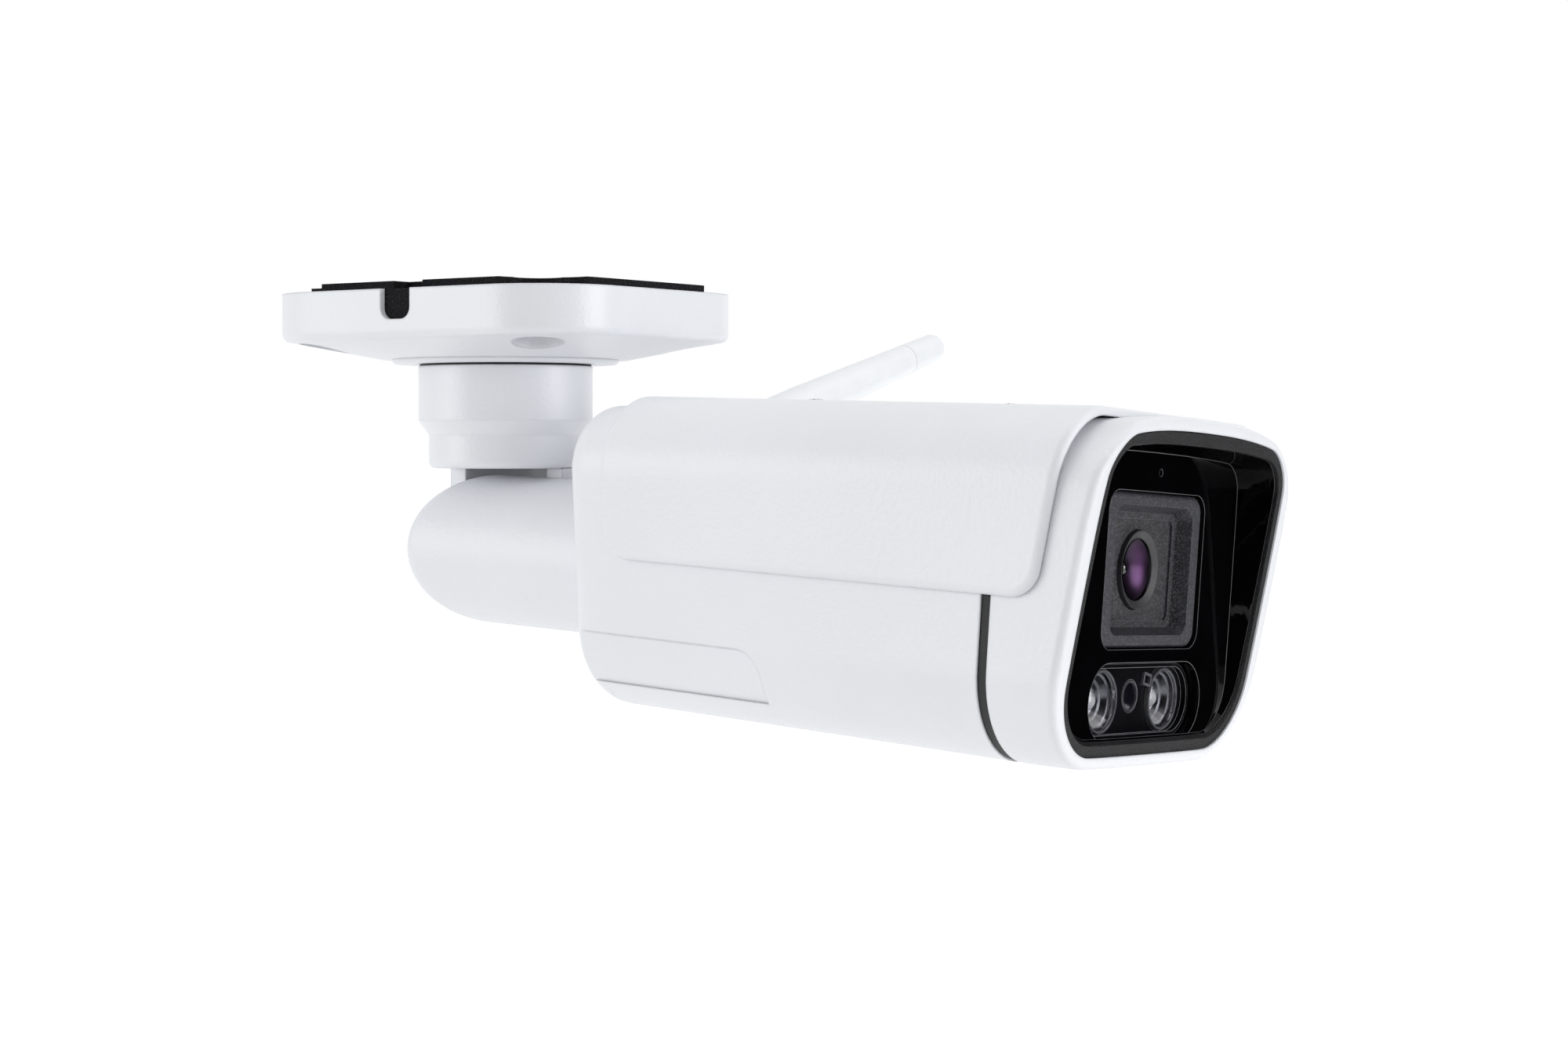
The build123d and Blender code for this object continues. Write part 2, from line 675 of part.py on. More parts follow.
with BuildPart() as roll_washer:
    add(ring(across(tilt_frame, rear_wall_front), ROLL_NUT_RADIUS, ROLL_SPIGOT + RUNNING_FIT, ROLL_WASHER))
finish(roll_washer, "roll_washer")

with BuildPart() as roll_nut:
    add(ring(across(tilt_frame, roll_nut_rear), ROLL_NUT_RADIUS, ROLL_SPIGOT + RUNNING_FIT, ROLL_NUT))
    with BuildSketch(across(tilt_frame, roll_nut_rear)):
        with PolarLocations(ROLL_NUT_RADIUS, PAN_NUT_SLOTS):
            Rectangle(NUT_SLOT, NUT_SLOT)
    extrude(amount=ROLL_NUT, mode=Mode.SUBTRACT)
finish(roll_nut, "roll_nut")

# Body: the hollow cast shell of the head, open at the front
boss_rear = BODY_FRONT - BEZEL_BOSS_DEPTH
top_reach = (TOP_CORNER - BEZEL_BOSS - BEZEL_BOSS_MARGIN) * cos(radians(45)) - TOP_CORNER
bottom_reach = (BOTTOM_CORNER - BEZEL_BOSS - BEZEL_BOSS_MARGIN) * cos(radians(45)) - BOTTOM_CORNER
screw_wide = head_side(boss_rear, head_top(boss_rear)) + top_reach
screw_narrow = head_side(boss_rear, -head_bottom(boss_rear)) + bottom_reach
screw_high = head_top(boss_rear) + top_reach
screw_low = -head_bottom(boss_rear) - bottom_reach
bezel_screw_places = (
    (-screw_wide, screw_high),
    (screw_wide, screw_high),
    (-screw_narrow, screw_low),
    (screw_narrow, screw_low),
)
shield_screw_places = (SHIELD_SCREW_REAR, SHIELD_SCREW_REAR + SHIELD_SCREW_PITCH)
rail_inner = MAIN_BOARD_WIDTH / 2 - RAIL_WIDTH / 2
rail_outer = head_side(MAIN_BOARD_REAR, -MAIN_BOARD_DOWN - RAIL_WIDTH) - BODY_WALL / 2

with BuildPart() as step_cut:
    with BuildSketch(beside(head_frame, -2 * FRONT_TOP_HALF_WIDTH)) as step_face:
        with BuildLine():
            Polyline(
                (0, PANEL_STEP_TOP),
                (PANEL_STEP_FRONT, PANEL_STEP_TOP),
                (PANEL_STEP_FRONT, PANEL_STEP_BOTTOM),
                (0, PANEL_STEP_BOTTOM),
                close=True,
            )
        make_face()
        fillet(step_face.vertices().group_by(Axis.X)[-1].sort_by(Axis.Y)[-1], PANEL_STEP_CORNER)
    extrude(amount=-4 * FRONT_TOP_HALF_WIDTH)
    add(head_loft(HEAD_REAR, hood_end, 0, 0, PANEL_STEP_PINCH), mode=Mode.SUBTRACT)

with BuildPart() as body_shell:
    add(head_loft(HEAD_REAR, BODY_FRONT))
    fillet(body_shell.faces().sort_by(Axis(head_frame.origin, head_frame.x_dir))[0].edges(), REAR_EDGE)
    add(step_cut.part, mode=Mode.SUBTRACT)
    add(head_loft(rear_wall_front, BODY_FRONT, -BODY_WALL), mode=Mode.SUBTRACT)
    add(
        disc(
            across(head_frame, socket_front),
            ANTENNA_BOSS,
            rear_wall_front - HEAD_REAR,
            ANTENNA_SIDE,
            ANTENNA_UP,
        )
    )
    for side, up in bezel_screw_places:
        add(disc(across(head_frame, BODY_FRONT), BEZEL_BOSS, -BEZEL_BOSS_DEPTH, side, up))
        add(
            disc(across(head_frame, BODY_FRONT), BEZEL_SCREW + RUNNING_FIT, -BEZEL_SCREW_LENGTH, side, up),
            mode=Mode.SUBTRACT,
        )
    for x in shield_screw_places:
        add(disc(above(head_frame, head_top(x) - BODY_WALL / 2), SHIELD_BOSS, -SHIELD_SCREW_LENGTH, x, 0))
        add(
            disc(
                above(head_frame, head_top(x) + SHIELD_BOSS),
                SHIELD_SCREW + RUNNING_FIT,
                -SHIELD_SCREW_LENGTH - SHIELD_BOSS,
                x,
            ),
            mode=Mode.SUBTRACT,
        )
    add(disc(across(head_frame, 0), ARM_RADIUS + 2 * SEAT_GAP, recess_floor), mode=Mode.SUBTRACT)
    add(disc(across(head_frame, 0), ROLL_SPIGOT + RUNNING_FIT, 2 * rear_wall_front), mode=Mode.SUBTRACT)
    add(
        disc(
            across(head_frame, 0),
            SOCKET_RADIUS + RUNNING_FIT,
            2 * rear_wall_front,
            ANTENNA_SIDE,
            ANTENNA_UP,
        ),
        mode=Mode.SUBTRACT,
    )
    for side in (-1, 1):
        add(
            plate(
                above(head_frame, -MAIN_BOARD_DOWN),
                MAIN_BOARD_LENGTH,
                rail_outer - rail_inner,
                -RAIL_WIDTH,
                y=MAIN_BOARD_REAR + MAIN_BOARD_LENGTH / 2,
                z=side * (rail_outer + rail_inner) / 2,
            )
        )
finish(body_shell, "body_shell")

# Sunshield: a thin skin over the top and the upper sides, with a raked front edge
rake_slope = tan(radians(LIP_RAKE))
shield_front = LIP_AT_AXIS - SHIELD_SETBACK
shield_reach = 2 * FRONT_TOP



def is_shield_rim(edge):
    """True for the outer rim of the sunshield, and not for its seams or the cuts across it."""
    middle = head_frame.to_local_coords(edge.position_at(0.5))
    heading = edge.tangent_at(0.5)
    across_bottom = abs(heading.dot(head_frame.y_dir)) > STRAIGHT and middle.Z < REAR_TOP / 2
    along_seam = abs(heading.dot(head_frame.x_dir)) > STRAIGHT and middle.Z > REAR_TOP / 2
    return not across_bottom and not along_seam


with BuildPart() as sunshield:
    add(head_loft(SHIELD_REAR, hood_end, SHIELD_GAP + SHIELD_THICKNESS))
    with BuildSketch(beside(head_frame, -2 * FRONT_TOP_HALF_WIDTH)) as shield_side:
        with BuildLine():
            Polyline(
                (SHIELD_REAR, SHIELD_EDGE),
                (shield_front + SHIELD_EDGE * rake_slope, SHIELD_EDGE),
                (shield_front + shield_reach * rake_slope, shield_reach),
                (SHIELD_REAR, shield_reach),
                close=True,
            )
        make_face()
        fillet(shield_side.vertices().group_by(Axis.Y)[0], SHIELD_CORNER)
    extrude(amount=-4 * FRONT_TOP_HALF_WIDTH, mode=Mode.INTERSECT)
    fillet(sunshield.edges().filter_by(is_shield_rim), SHIELD_ROUND)
    add(head_loft(HEAD_REAR, hood_end, SHIELD_GAP), mode=Mode.SUBTRACT)
    for x in shield_screw_places:
        seat = head_top(x) + SHIELD_GAP
        add(
            disc(above(head_frame, seat - SHIELD_BOSS), SHIELD_SCREW + SEAT_GAP, 3 * SHIELD_BOSS, x),
            mode=Mode.SUBTRACT,
        )
finish(sunshield, "sunshield")

with BuildPart() as shield_screws:
    for x in shield_screw_places:
        seat = head_top(x) + SHIELD_GAP + SHIELD_THICKNESS + SEAT_GAP
        add(disc(above(head_frame, seat), SHIELD_SCREW, -SHIELD_SCREW_LENGTH, x, 0))
        add(disc(above(head_frame, seat), SHIELD_SCREW_HEAD, SHIELD_SCREW, x, 0))
finish(shield_screws, "shield_screws")

# Front bezel: the raked hood that closes the body, on a rubber seal
with BuildPart() as bezel_seal:
    add(head_loft(BODY_FRONT, bezel_rear, -SEAL_SINK))
    add(head_loft(BODY_FRONT, bezel_rear, -SEAL_WIDTH), mode=Mode.SUBTRACT)
    for side, up in bezel_screw_places:
        add(disc(across(head_frame, BODY_FRONT), BEZEL_BOSS, BEZEL_SEAL, side, up))
        add(
            disc(across(head_frame, BODY_FRONT), BEZEL_SCREW + SEAT_GAP, BEZEL_SEAL, side, up),
            mode=Mode.SUBTRACT,
        )
finish(bezel_seal, "bezel_seal")

with BuildPart() as front_bezel:
    add(head_loft(bezel_rear, hood_end))
    split(bisect_by=raked(0), keep=Keep.BOTTOM)
    fillet(front_bezel.faces().sort_by(Axis(head_frame.origin, head_frame.x_dir))[-1].edges(), LIP_EDGE)
    add(head_loft(bezel_rear, hood_end, -BEZEL_WALL, -BEZEL_ROOF), mode=Mode.SUBTRACT)
    for side, up in bezel_screw_places:
        add(disc(across(head_frame, bezel_rear), BEZEL_BOSS, LUG_THICKNESS, side, up))
        add(
            disc(across(head_frame, bezel_rear), BEZEL_SCREW + SEAT_GAP, LUG_THICKNESS, side, up),
            mode=Mode.SUBTRACT,
        )
finish(front_bezel, "front_bezel")

with BuildPart() as bezel_screws:
    for side, up in bezel_screw_places:
        add(
            disc(
                across(head_frame, lug_front),
                BEZEL_SCREW,
                -LUG_THICKNESS - BEZEL_SEAL - BEZEL_SCREW_LENGTH + BEZEL_SCREW,
                side,
                up,
            )
        )
        add(disc(across(head_frame, lug_front), BEZEL_SCREW_HEAD, BEZEL_SCREW, side, up))
finish(bezel_screws, "bezel_screws")

# Black front: the walls from the lip down to the flat panel are cut from one block
insert_side = -BEZEL_WALL - SEAT_GAP
insert_roof = -BEZEL_ROOF - SEAT_GAP
mouth_side = insert_side - MOUTH_INSET
mouth_roof = insert_roof - MOUTH_INSET
mouth = rounded_frame(raked(0), LIP_AT_AXIS, mouth_side, mouth_roof)
panel_edge = rounded_frame(
    across(head_frame, PANEL_FRONT), PANEL_FRONT, mouth_side - FUNNEL_TAPER, mouth_roof - FUNNEL_TAPER
)

with BuildPart() as funnel:
    loft(sections=[panel_edge, mouth], ruled=True)
    extrude(mouth, amount=hood_end - LIP_AT_AXIS)

with BuildPart() as hood_liner:
    add(head_loft(panel_rear, hood_end, insert_side, insert_roof))
    split(bisect_by=raked(LINER_SINK), keep=Keep.BOTTOM)
    split(bisect_by=raked(LINER_SINK + LINER_THICKNESS), keep=Keep.TOP)
    add(funnel.part, mode=Mode.SUBTRACT)
finish(hood_liner, "hood_liner")

with BuildPart() as front_panel:
    add(head_loft(panel_rear, hood_end, insert_side, insert_roof))
    split(bisect_by=raked(LINER_SINK + LINER_THICKNESS), keep=Keep.BOTTOM)
    add(funnel.part, mode=Mode.SUBTRACT)
    add(
        plate(
            across(head_frame, panel_rear),
            FRAME_WIDTH + 2 * SEAT_GAP,
            FRAME_HEIGHT + 2 * SEAT_GAP,
            PANEL_THICKNESS,
            FRAME_CORNER + SEAT_GAP,
            z=LENS_UP,
        ),
        mode=Mode.SUBTRACT,
    )
    with BuildSketch(across(head_frame, panel_rear)):
        with Locations((0, -LED_DOWN)):
            SlotOverall(TRAY_LENGTH + 2 * SEAT_GAP, TRAY_HEIGHT + 2 * SEAT_GAP)
        with Locations((0, MIC_UP)):
            Circle(MIC_HOLE)
    extrude(amount=PANEL_THICKNESS, mode=Mode.SUBTRACT)
finish(front_panel, "front_panel")

with BuildPart() as microphone:
    add(disc(across(head_frame, panel_rear), MIC_RADIUS, -MIC_LENGTH, 0, MIC_UP))
finish(microphone, "microphone")

# Lens group: frame, threaded barrel with its glass, holder and image sensor
lens_axis = Axis(head_frame.from_local_coords((0, 0, LENS_UP)), head_frame.x_dir)


def window_sketch(x, margin):
    """Rounded rectangle of the lens window at x, grown by a margin."""
    with BuildSketch(across(head_frame, x)) as window:
        with Locations((0, LENS_UP)):
            RectangleRounded(
                FRAME_RECESS_WIDTH + 2 * margin,
                FRAME_RECESS_HEIGHT + 2 * margin,
                FRAME_RECESS_CORNER + margin / 2,
            )
    return window.sketch


with BuildPart() as lens_frame:
    add(
        plate(
            across(head_frame, frame_rear),
            FRAME_WIDTH + 2 * FRAME_MARGIN,
            FRAME_HEIGHT + 2 * FRAME_MARGIN,
            FRAME_FLANGE,
            FRAME_CORNER,
            z=LENS_UP,
        )
    )
    add(
        plate(
            across(head_frame, panel_rear),
            FRAME_WIDTH,
            FRAME_HEIGHT,
            frame_front - panel_rear,
            FRAME_CORNER,
            z=LENS_UP,
        )
    )
    fillet(lens_frame.faces().sort_by(lens_axis)[-1].edges(), FRAME_EDGE)
    loft(
        sections=[
            window_sketch(frame_floor + FRAME_LEDGE, 0),
            window_sketch(frame_front, FRAME_SLOPE),
        ],
        ruled=True,
        mode=Mode.SUBTRACT,
    )
    extrude(window_sketch(frame_floor, -FRAME_LEDGE_WIDTH), amount=FRAME_RECESS_DEPTH, mode=Mode.SUBTRACT)
    add(
        disc(across(head_frame, frame_rear), LENS_HEAD + SEAT_GAP, frame_floor - frame_rear, 0, LENS_UP),
        mode=Mode.SUBTRACT,
    )
finish(lens_frame, "lens_frame")

glass_radius = LENS_HEAD - LENS_RING_WIDTH
glass_rear = lens_front - LENS_GLASS_DEPTH

with BuildPart() as lens_barrel:
    add(disc(across(head_frame, lens_rear), LENS_THREAD, LENS_LENGTH - LENS_HEAD_LENGTH, 0, LENS_UP))
    add(
        disc(
            across(head_frame, lens_head_rear),
            LENS_HEAD,
            LENS_HEAD_LENGTH - LENS_RING_DEPTH,
            0,
            LENS_UP,
        )
    )
    add(disc(across(head_frame, glass_rear), glass_radius, LENS_HEAD_LENGTH, 0, LENS_UP), mode=Mode.SUBTRACT)
    add(disc(across(head_frame, lens_rear), REAR_GLASS, LENS_LENGTH, 0, LENS_UP), mode=Mode.SUBTRACT)
finish(lens_barrel, "lens_barrel")

with BuildPart() as lens_ring:
    with BuildSketch(above(head_frame, LENS_UP)):
        with BuildLine():
            Polyline(
                (lens_front - LENS_RING_DEPTH, glass_radius),
                (lens_front - LENS_RING_DEPTH, LENS_HEAD),
                (lens_front, LENS_HEAD),
                (lens_front, LENS_HEAD - LENS_RING_EDGE),
                (lens_front - LENS_RING_SLOPE, glass_radius),
                close=True,
            )
        make_face()
    revolve(axis=lens_axis)
finish(lens_ring, "lens_ring")

with BuildPart() as lens_glass:
    with BuildSketch(above(head_frame, LENS_UP)):
        with BuildLine():
            edge = glass_radius - RUNNING_FIT
            Polyline(
                (lens_front, 0),
                (glass_rear, 0),
                (glass_rear, edge),
                (lens_front - LENS_GLASS_DOME, edge),
            )
            RadiusArc(
                (lens_front - LENS_GLASS_DOME, edge),
                (lens_front, 0),
                (edge**2 + LENS_GLASS_DOME**2) / (2 * LENS_GLASS_DOME),
            )
        make_face()
    revolve(axis=lens_axis)
finish(lens_glass, "lens_glass")

with BuildPart() as rear_glass:
    add(disc(across(head_frame, lens_rear), REAR_GLASS - RUNNING_FIT, REAR_GLASS_DEPTH, 0, LENS_UP))
finish(rear_glass, "rear_glass")

with BuildPart() as lens_holder:
    add(plate(across(head_frame, holder_rear), HOLDER_SIDE, HOLDER_SIDE, HOLDER_FOOT, z=LENS_UP))
    add(disc(across(head_frame, holder_rear), HOLDER_TUBE, HOLDER_LENGTH, 0, LENS_UP))
    add(
        disc(across(head_frame, holder_rear), LENS_THREAD + RUNNING_FIT, HOLDER_LENGTH, 0, LENS_UP),
        mode=Mode.SUBTRACT,
    )
finish(lens_holder, "lens_holder")

with BuildPart() as sensor_board:
    add(plate(across(head_frame, sensor_board_rear), SENSOR_BOARD, SENSOR_BOARD, BOARD_THICKNESS, z=LENS_UP))
finish(sensor_board, "sensor_board")

with BuildPart() as image_sensor:
    add(plate(across(head_frame, holder_rear), SENSOR_LENGTH, SENSOR_HEIGHT, SENSOR_THICKNESS, z=LENS_UP))
finish(image_sensor, "image_sensor")

# Lamp group: two lamps with collecting lenses and a light sensor in one dark tray
led_sides = (-LED_PITCH / 2, LED_PITCH / 2)
light_sensor_height = LIGHT_SENSOR_UP - LED_DOWN

with BuildPart() as led_tray:
    with BuildSketch(across(head_frame, tray_rear)):
        with Locations((0, -LED_DOWN)):
            SlotOverall(TRAY_LENGTH, TRAY_HEIGHT)
        with Locations((0, light_sensor_height)):
            Circle(LIGHT_SENSOR + SEAT_GAP, mode=Mode.SUBTRACT)
        with Locations([(side, -LED_DOWN) for side in led_sides]):
            Circle(LED_RADIUS + SEAT_GAP, mode=Mode.SUBTRACT)
    extrude(amount=TRAY_THICKNESS)
    ridge_inner = 2 * (TRAY_RIDGE_INSET + TRAY_RIDGE_WIDTH)
    with BuildSketch(across(head_frame, tray_front)):
        with Locations((0, -LED_DOWN)):
            SlotOverall(TRAY_LENGTH - 2 * TRAY_RIDGE_INSET, TRAY_HEIGHT - 2 * TRAY_RIDGE_INSET)
            SlotOverall(TRAY_LENGTH - ridge_inner, TRAY_HEIGHT - ridge_inner, mode=Mode.SUBTRACT)
    extrude(amount=TRAY_RIDGE)
finish(led_tray, "led_tray")

with BuildPart() as led_lenses:
    root_x = led_board_front + LED_CHIP_THICKNESS
    rim_x = led_front - LED_DOME
    for side in led_sides:
        with BuildSketch(above(head_frame, -LED_DOWN)):
            with BuildLine():
                Polyline(
                    (led_front, side),
                    (root_x, side),
                    (root_x, side + LED_ROOT),
                    (tray_rear - LED_DOME, side + LED_RADIUS),
                    (rim_x, side + LED_RADIUS),
                )
                RadiusArc(
                    (rim_x, side + LED_RADIUS),
                    (led_front, side),
                    (LED_RADIUS**2 + LED_DOME**2) / (2 * LED_DOME),
                )
            make_face()
        revolve(axis=Axis(head_frame.from_local_coords((0, side, -LED_DOWN)), head_frame.x_dir))
finish(led_lenses, "led_lenses")

with BuildPart() as led_chips:
    for side in led_sides:
        add(
            plate(
                across(head_frame, led_board_front),
                LED_CHIP,
                LED_CHIP,
                LED_CHIP_THICKNESS,
                y=side,
                z=-LED_DOWN,
            )
        )
finish(led_chips, "led_chips")

with BuildPart() as led_board:
    add(
        plate(
            across(head_frame, led_board_rear),
            LED_BOARD_LENGTH,
            LED_BOARD_HEIGHT,
            BOARD_THICKNESS,
            z=-LED_DOWN,
        )
    )
finish(led_board, "led_board")

with BuildPart() as light_sensor:
    sensor_plane = across(head_frame, led_board_front)
    add(disc(sensor_plane, LIGHT_SENSOR_BASE, LED_DOME, 0, light_sensor_height))
    add(disc(sensor_plane, LIGHT_SENSOR, tray_front - led_board_front, 0, light_sensor_height))
finish(light_sensor, "light_sensor")

# Main board on the body's side rails, with its processor and radio module
main_board_top = BOARD_THICKNESS - MAIN_BOARD_DOWN
main_board_middle = MAIN_BOARD_REAR + MAIN_BOARD_LENGTH / 2

with BuildPart() as main_board:
    add(
        plate(
            above(head_frame, -MAIN_BOARD_DOWN),
            MAIN_BOARD_LENGTH,
            MAIN_BOARD_WIDTH,
            BOARD_THICKNESS,
            y=main_board_middle,
        )
    )
finish(main_board, "main_board")

with BuildPart() as processor:
    add(
        plate(
            above(head_frame, main_board_top),
            PROCESSOR,
            PROCESSOR,
            PROCESSOR_THICKNESS,
            y=main_board_middle,
        )
    )
finish(processor, "processor")

with BuildPart() as radio_module:
    add(
        plate(
            above(head_frame, main_board_top),
            RADIO_LENGTH,
            RADIO_WIDTH,
            RADIO_HEIGHT,
            y=MAIN_BOARD_REAR + RADIO_LENGTH / 2 + BOARD_THICKNESS,
            z=(MAIN_BOARD_WIDTH - RADIO_WIDTH) / 2 - BOARD_THICKNESS,
        )
    )
finish(radio_module, "radio_module")

# Antenna: screw socket on the head, swivel elbow, hinge pin and tapered rod
with BuildPart() as antenna_socket:
    add(disc(across(antenna_frame, socket_end), SOCKET_RADIUS, rear_wall_front - socket_end))
    add(disc(across(antenna_frame, rear_wall_front), SOCKET_FLANGE, SOCKET_FLANGE_THICKNESS))
    add(disc(across(antenna_frame, socket_end), SOCKET_BORE, SOCKET_LENGTH), mode=Mode.SUBTRACT)
finish(antenna_socket, "antenna_socket")

with BuildPart() as antenna_nut:
    with BuildSketch(across(antenna_frame, socket_front)):
        RegularPolygon(SOCKET_NUT, 6)
        Circle(SOCKET_RADIUS + RUNNING_FIT, mode=Mode.SUBTRACT)
    extrude(amount=-SOCKET_NUT_THICKNESS)
finish(antenna_nut, "antenna_nut")

ear_inner = TONGUE_THICKNESS / 2 + HINGE_GAP
ear_outer = ear_inner + EAR_THICKNESS

with BuildPart() as antenna_elbow:
    add(disc(across(antenna_frame, sleeve_rear), SLEEVE_RADIUS, SLEEVE_LENGTH))
    with BuildSketch(across(antenna_frame, sleeve_rear)):
        with PolarLocations(SLEEVE_RADIUS + SLEEVE_FLUTE / 2, SLEEVE_FLUTES):
            Circle(SLEEVE_FLUTE)
    extrude(amount=SLEEVE_LENGTH, mode=Mode.SUBTRACT)
    add(
        disc(across(antenna_frame, socket_end - RUNNING_FIT), SOCKET_RADIUS + RUNNING_FIT, SLEEVE_LENGTH),
        mode=Mode.SUBTRACT,
    )
    with BuildSketch(above(antenna_frame, -ear_outer)):
        with Locations((hinge_x, 0)):
            Circle(EAR_RADIUS)
            Rectangle(HINGE_SETBACK, 2 * EAR_RADIUS, align=(Align.MIN, Align.CENTER))
    extrude(amount=2 * ear_outer)
    with BuildSketch(above(antenna_frame, -ear_inner)):
        with Locations((sleeve_rear, 0)):
            Rectangle(4 * EAR_RADIUS, 4 * EAR_RADIUS, align=(Align.MAX, Align.CENTER))
    extrude(amount=2 * ear_inner, mode=Mode.SUBTRACT)
    with BuildSketch(above(antenna_frame, -ear_outer)):
        with Locations((hinge_x, 0)):
            Circle(HINGE_PIN + RUNNING_FIT)
    extrude(amount=2 * ear_outer, mode=Mode.SUBTRACT)
finish(antenna_elbow, "antenna_elbow")

with BuildPart() as antenna_pin:
    add(disc(above(antenna_frame, -ear_outer), HINGE_PIN, 2 * ear_outer, hinge_x, 0))
finish(antenna_pin, "antenna_pin")

rod_axis = Axis(antenna_frame.from_local_coords((hinge_x, 0, 0)), antenna_frame.y_dir)
cap_root = ROD_LENGTH - CAP_LENGTH
taper = (ROD_RADIUS - TIP_RADIUS) / (ROD_LENGTH - TIP_RADIUS - ROD_STRAIGHT)
cap_radius = ROD_RADIUS - taper * (cap_root - ROD_STRAIGHT)

with BuildPart() as antenna_rod:
    with BuildSketch(above(antenna_frame, 0)):
        with BuildLine():
            Polyline(
                (hinge_x, ROD_ROOT),
                (hinge_x + ROD_RADIUS, ROD_ROOT),
                (hinge_x + ROD_RADIUS, ROD_STRAIGHT),
                (hinge_x + cap_radius, cap_root),
                (hinge_x + CAP_PLUG, cap_root),
                (hinge_x + CAP_PLUG, cap_root + CAP_PLUG_LENGTH),
                (hinge_x, cap_root + CAP_PLUG_LENGTH),
                close=True,
            )
        make_face()
    revolve(axis=rod_axis)
    with BuildSketch(above(antenna_frame, -TONGUE_THICKNESS / 2)):
        with Locations((hinge_x, 0)):
            Circle(EAR_RADIUS - HINGE_GAP)
            Rectangle(2 * (EAR_RADIUS - HINGE_GAP), 2 * ROD_ROOT, align=(Align.CENTER, Align.MIN))
    extrude(amount=TONGUE_THICKNESS)
    with BuildSketch(above(antenna_frame, -TONGUE_THICKNESS / 2)):
        with Locations((hinge_x, 0)):
            Circle(HINGE_PIN + RUNNING_FIT)
    extrude(amount=TONGUE_THICKNESS, mode=Mode.SUBTRACT)
finish(antenna_rod, "antenna_rod")

with BuildPart() as antenna_cap:
    with BuildSketch(above(antenna_frame, 0)):
        with BuildLine():
            Polyline(
                (hinge_x, ROD_LENGTH),
                (hinge_x, cap_root + CAP_PLUG_LENGTH + SEAT_GAP),
                (hinge_x + CAP_PLUG + RUNNING_FIT, cap_root + CAP_PLUG_LENGTH + SEAT_GAP),
                (hinge_x + CAP_PLUG + RUNNING_FIT, cap_root + CAP_JOINT),
                (hinge_x + cap_radius, cap_root + CAP_JOINT),
                (hinge_x + TIP_RADIUS, ROD_LENGTH - TIP_RADIUS),
            )
            RadiusArc((hinge_x + TIP_RADIUS, ROD_LENGTH - TIP_RADIUS), (hinge_x, ROD_LENGTH), -TIP_RADIUS)
        make_face()
    revolve(axis=rod_axis)
finish(antenna_cap, "antenna_cap")
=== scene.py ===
"""Finishes, optics and studio for a ceiling-mounted bullet camera, laid out as an add-on."""

import json
import math

import bpy
from mathutils import Matrix, Vector


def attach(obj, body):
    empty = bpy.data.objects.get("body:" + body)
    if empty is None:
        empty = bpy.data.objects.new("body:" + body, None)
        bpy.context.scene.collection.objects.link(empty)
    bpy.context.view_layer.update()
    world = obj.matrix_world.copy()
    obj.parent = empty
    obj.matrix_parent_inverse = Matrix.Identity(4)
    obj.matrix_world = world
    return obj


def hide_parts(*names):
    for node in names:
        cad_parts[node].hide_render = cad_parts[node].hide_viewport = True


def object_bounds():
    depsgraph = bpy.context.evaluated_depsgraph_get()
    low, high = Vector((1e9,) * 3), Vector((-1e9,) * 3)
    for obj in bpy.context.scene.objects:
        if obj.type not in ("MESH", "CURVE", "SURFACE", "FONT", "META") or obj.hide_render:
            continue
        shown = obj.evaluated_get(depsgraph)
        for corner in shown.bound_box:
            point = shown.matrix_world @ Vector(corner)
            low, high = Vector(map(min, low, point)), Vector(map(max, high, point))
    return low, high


bl_info = {
    "name": "Bullet Camera Dresser",
    "version": (1, 1, 0),
    "blender": (4, 5, 0),
    "location": "View3D > Sidebar > Bullet Camera",
    "description": "Dresses the packed bullet camera with finishes, optics, lamps and a studio",
    "category": "Object",
}

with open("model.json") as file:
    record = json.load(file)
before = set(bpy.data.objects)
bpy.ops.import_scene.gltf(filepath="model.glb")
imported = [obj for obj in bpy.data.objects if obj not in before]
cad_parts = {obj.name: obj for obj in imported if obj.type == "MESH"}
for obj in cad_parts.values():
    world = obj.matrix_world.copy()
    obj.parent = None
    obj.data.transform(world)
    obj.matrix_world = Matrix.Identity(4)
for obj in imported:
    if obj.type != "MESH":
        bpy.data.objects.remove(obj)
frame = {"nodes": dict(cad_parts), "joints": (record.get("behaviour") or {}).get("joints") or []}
nodes = frame["nodes"]
cad_low, cad_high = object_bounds()

PHOTO_WIDTH = 2000
MM = 0.001
MERGE = 0.001 * MM
SMOOTH = math.radians(35.0)
SPIN_STEPS = 72
LENGTH = {"subtype": "DISTANCE", "unit": "LENGTH"}
POWER = {"subtype": "POWER", "unit": "POWER"}

# The photograph's camera: its place in metres, and the horizon's height over the middle in pixels
CAMERA_PLACE = (0.4163, -0.4825, -0.036)
CAMERA_AZIMUTH = math.radians(35.0)
SENSOR_WIDTH = 36.0
HORIZON_RISE = 101.5

# Cosines of the turn in the rounded normal at which an edge starts to get a painted highlight, and gets it in
# full
HIGHLIGHT_START = 0.97
HIGHLIGHT_FULL = 0.8

# Stations of the head's front along the roll axis, in millimetres, as the CAD has them
LENS_FRONT = 163.6
GLASS_REAR = 160.6
GLASS_RADIUS = 6.1
FRAME_FLOOR = 162.7
FRAME_FRONT = 166.3
TRAY_FRONT = 163.2
LAMP_FRONT = 164.4
LAMP_ROOT = 159.25

# The hood ahead of the sunshield, where its corners draw in, and its section's half sizes
HOOD_START = 157.0
HOOD_END = 174.0
HOOD_MIDDLE = 2.7
HOOD_HALF_HEIGHT = 33.5
HOOD_HALF_WIDTH = 43.0
HOOD_CUTS = 14

# How tightly the drawing in keeps to the corners, and where across the hood the crown turns to a fall
CORNER_POWER = 4
CROWN_TURN = 0.6

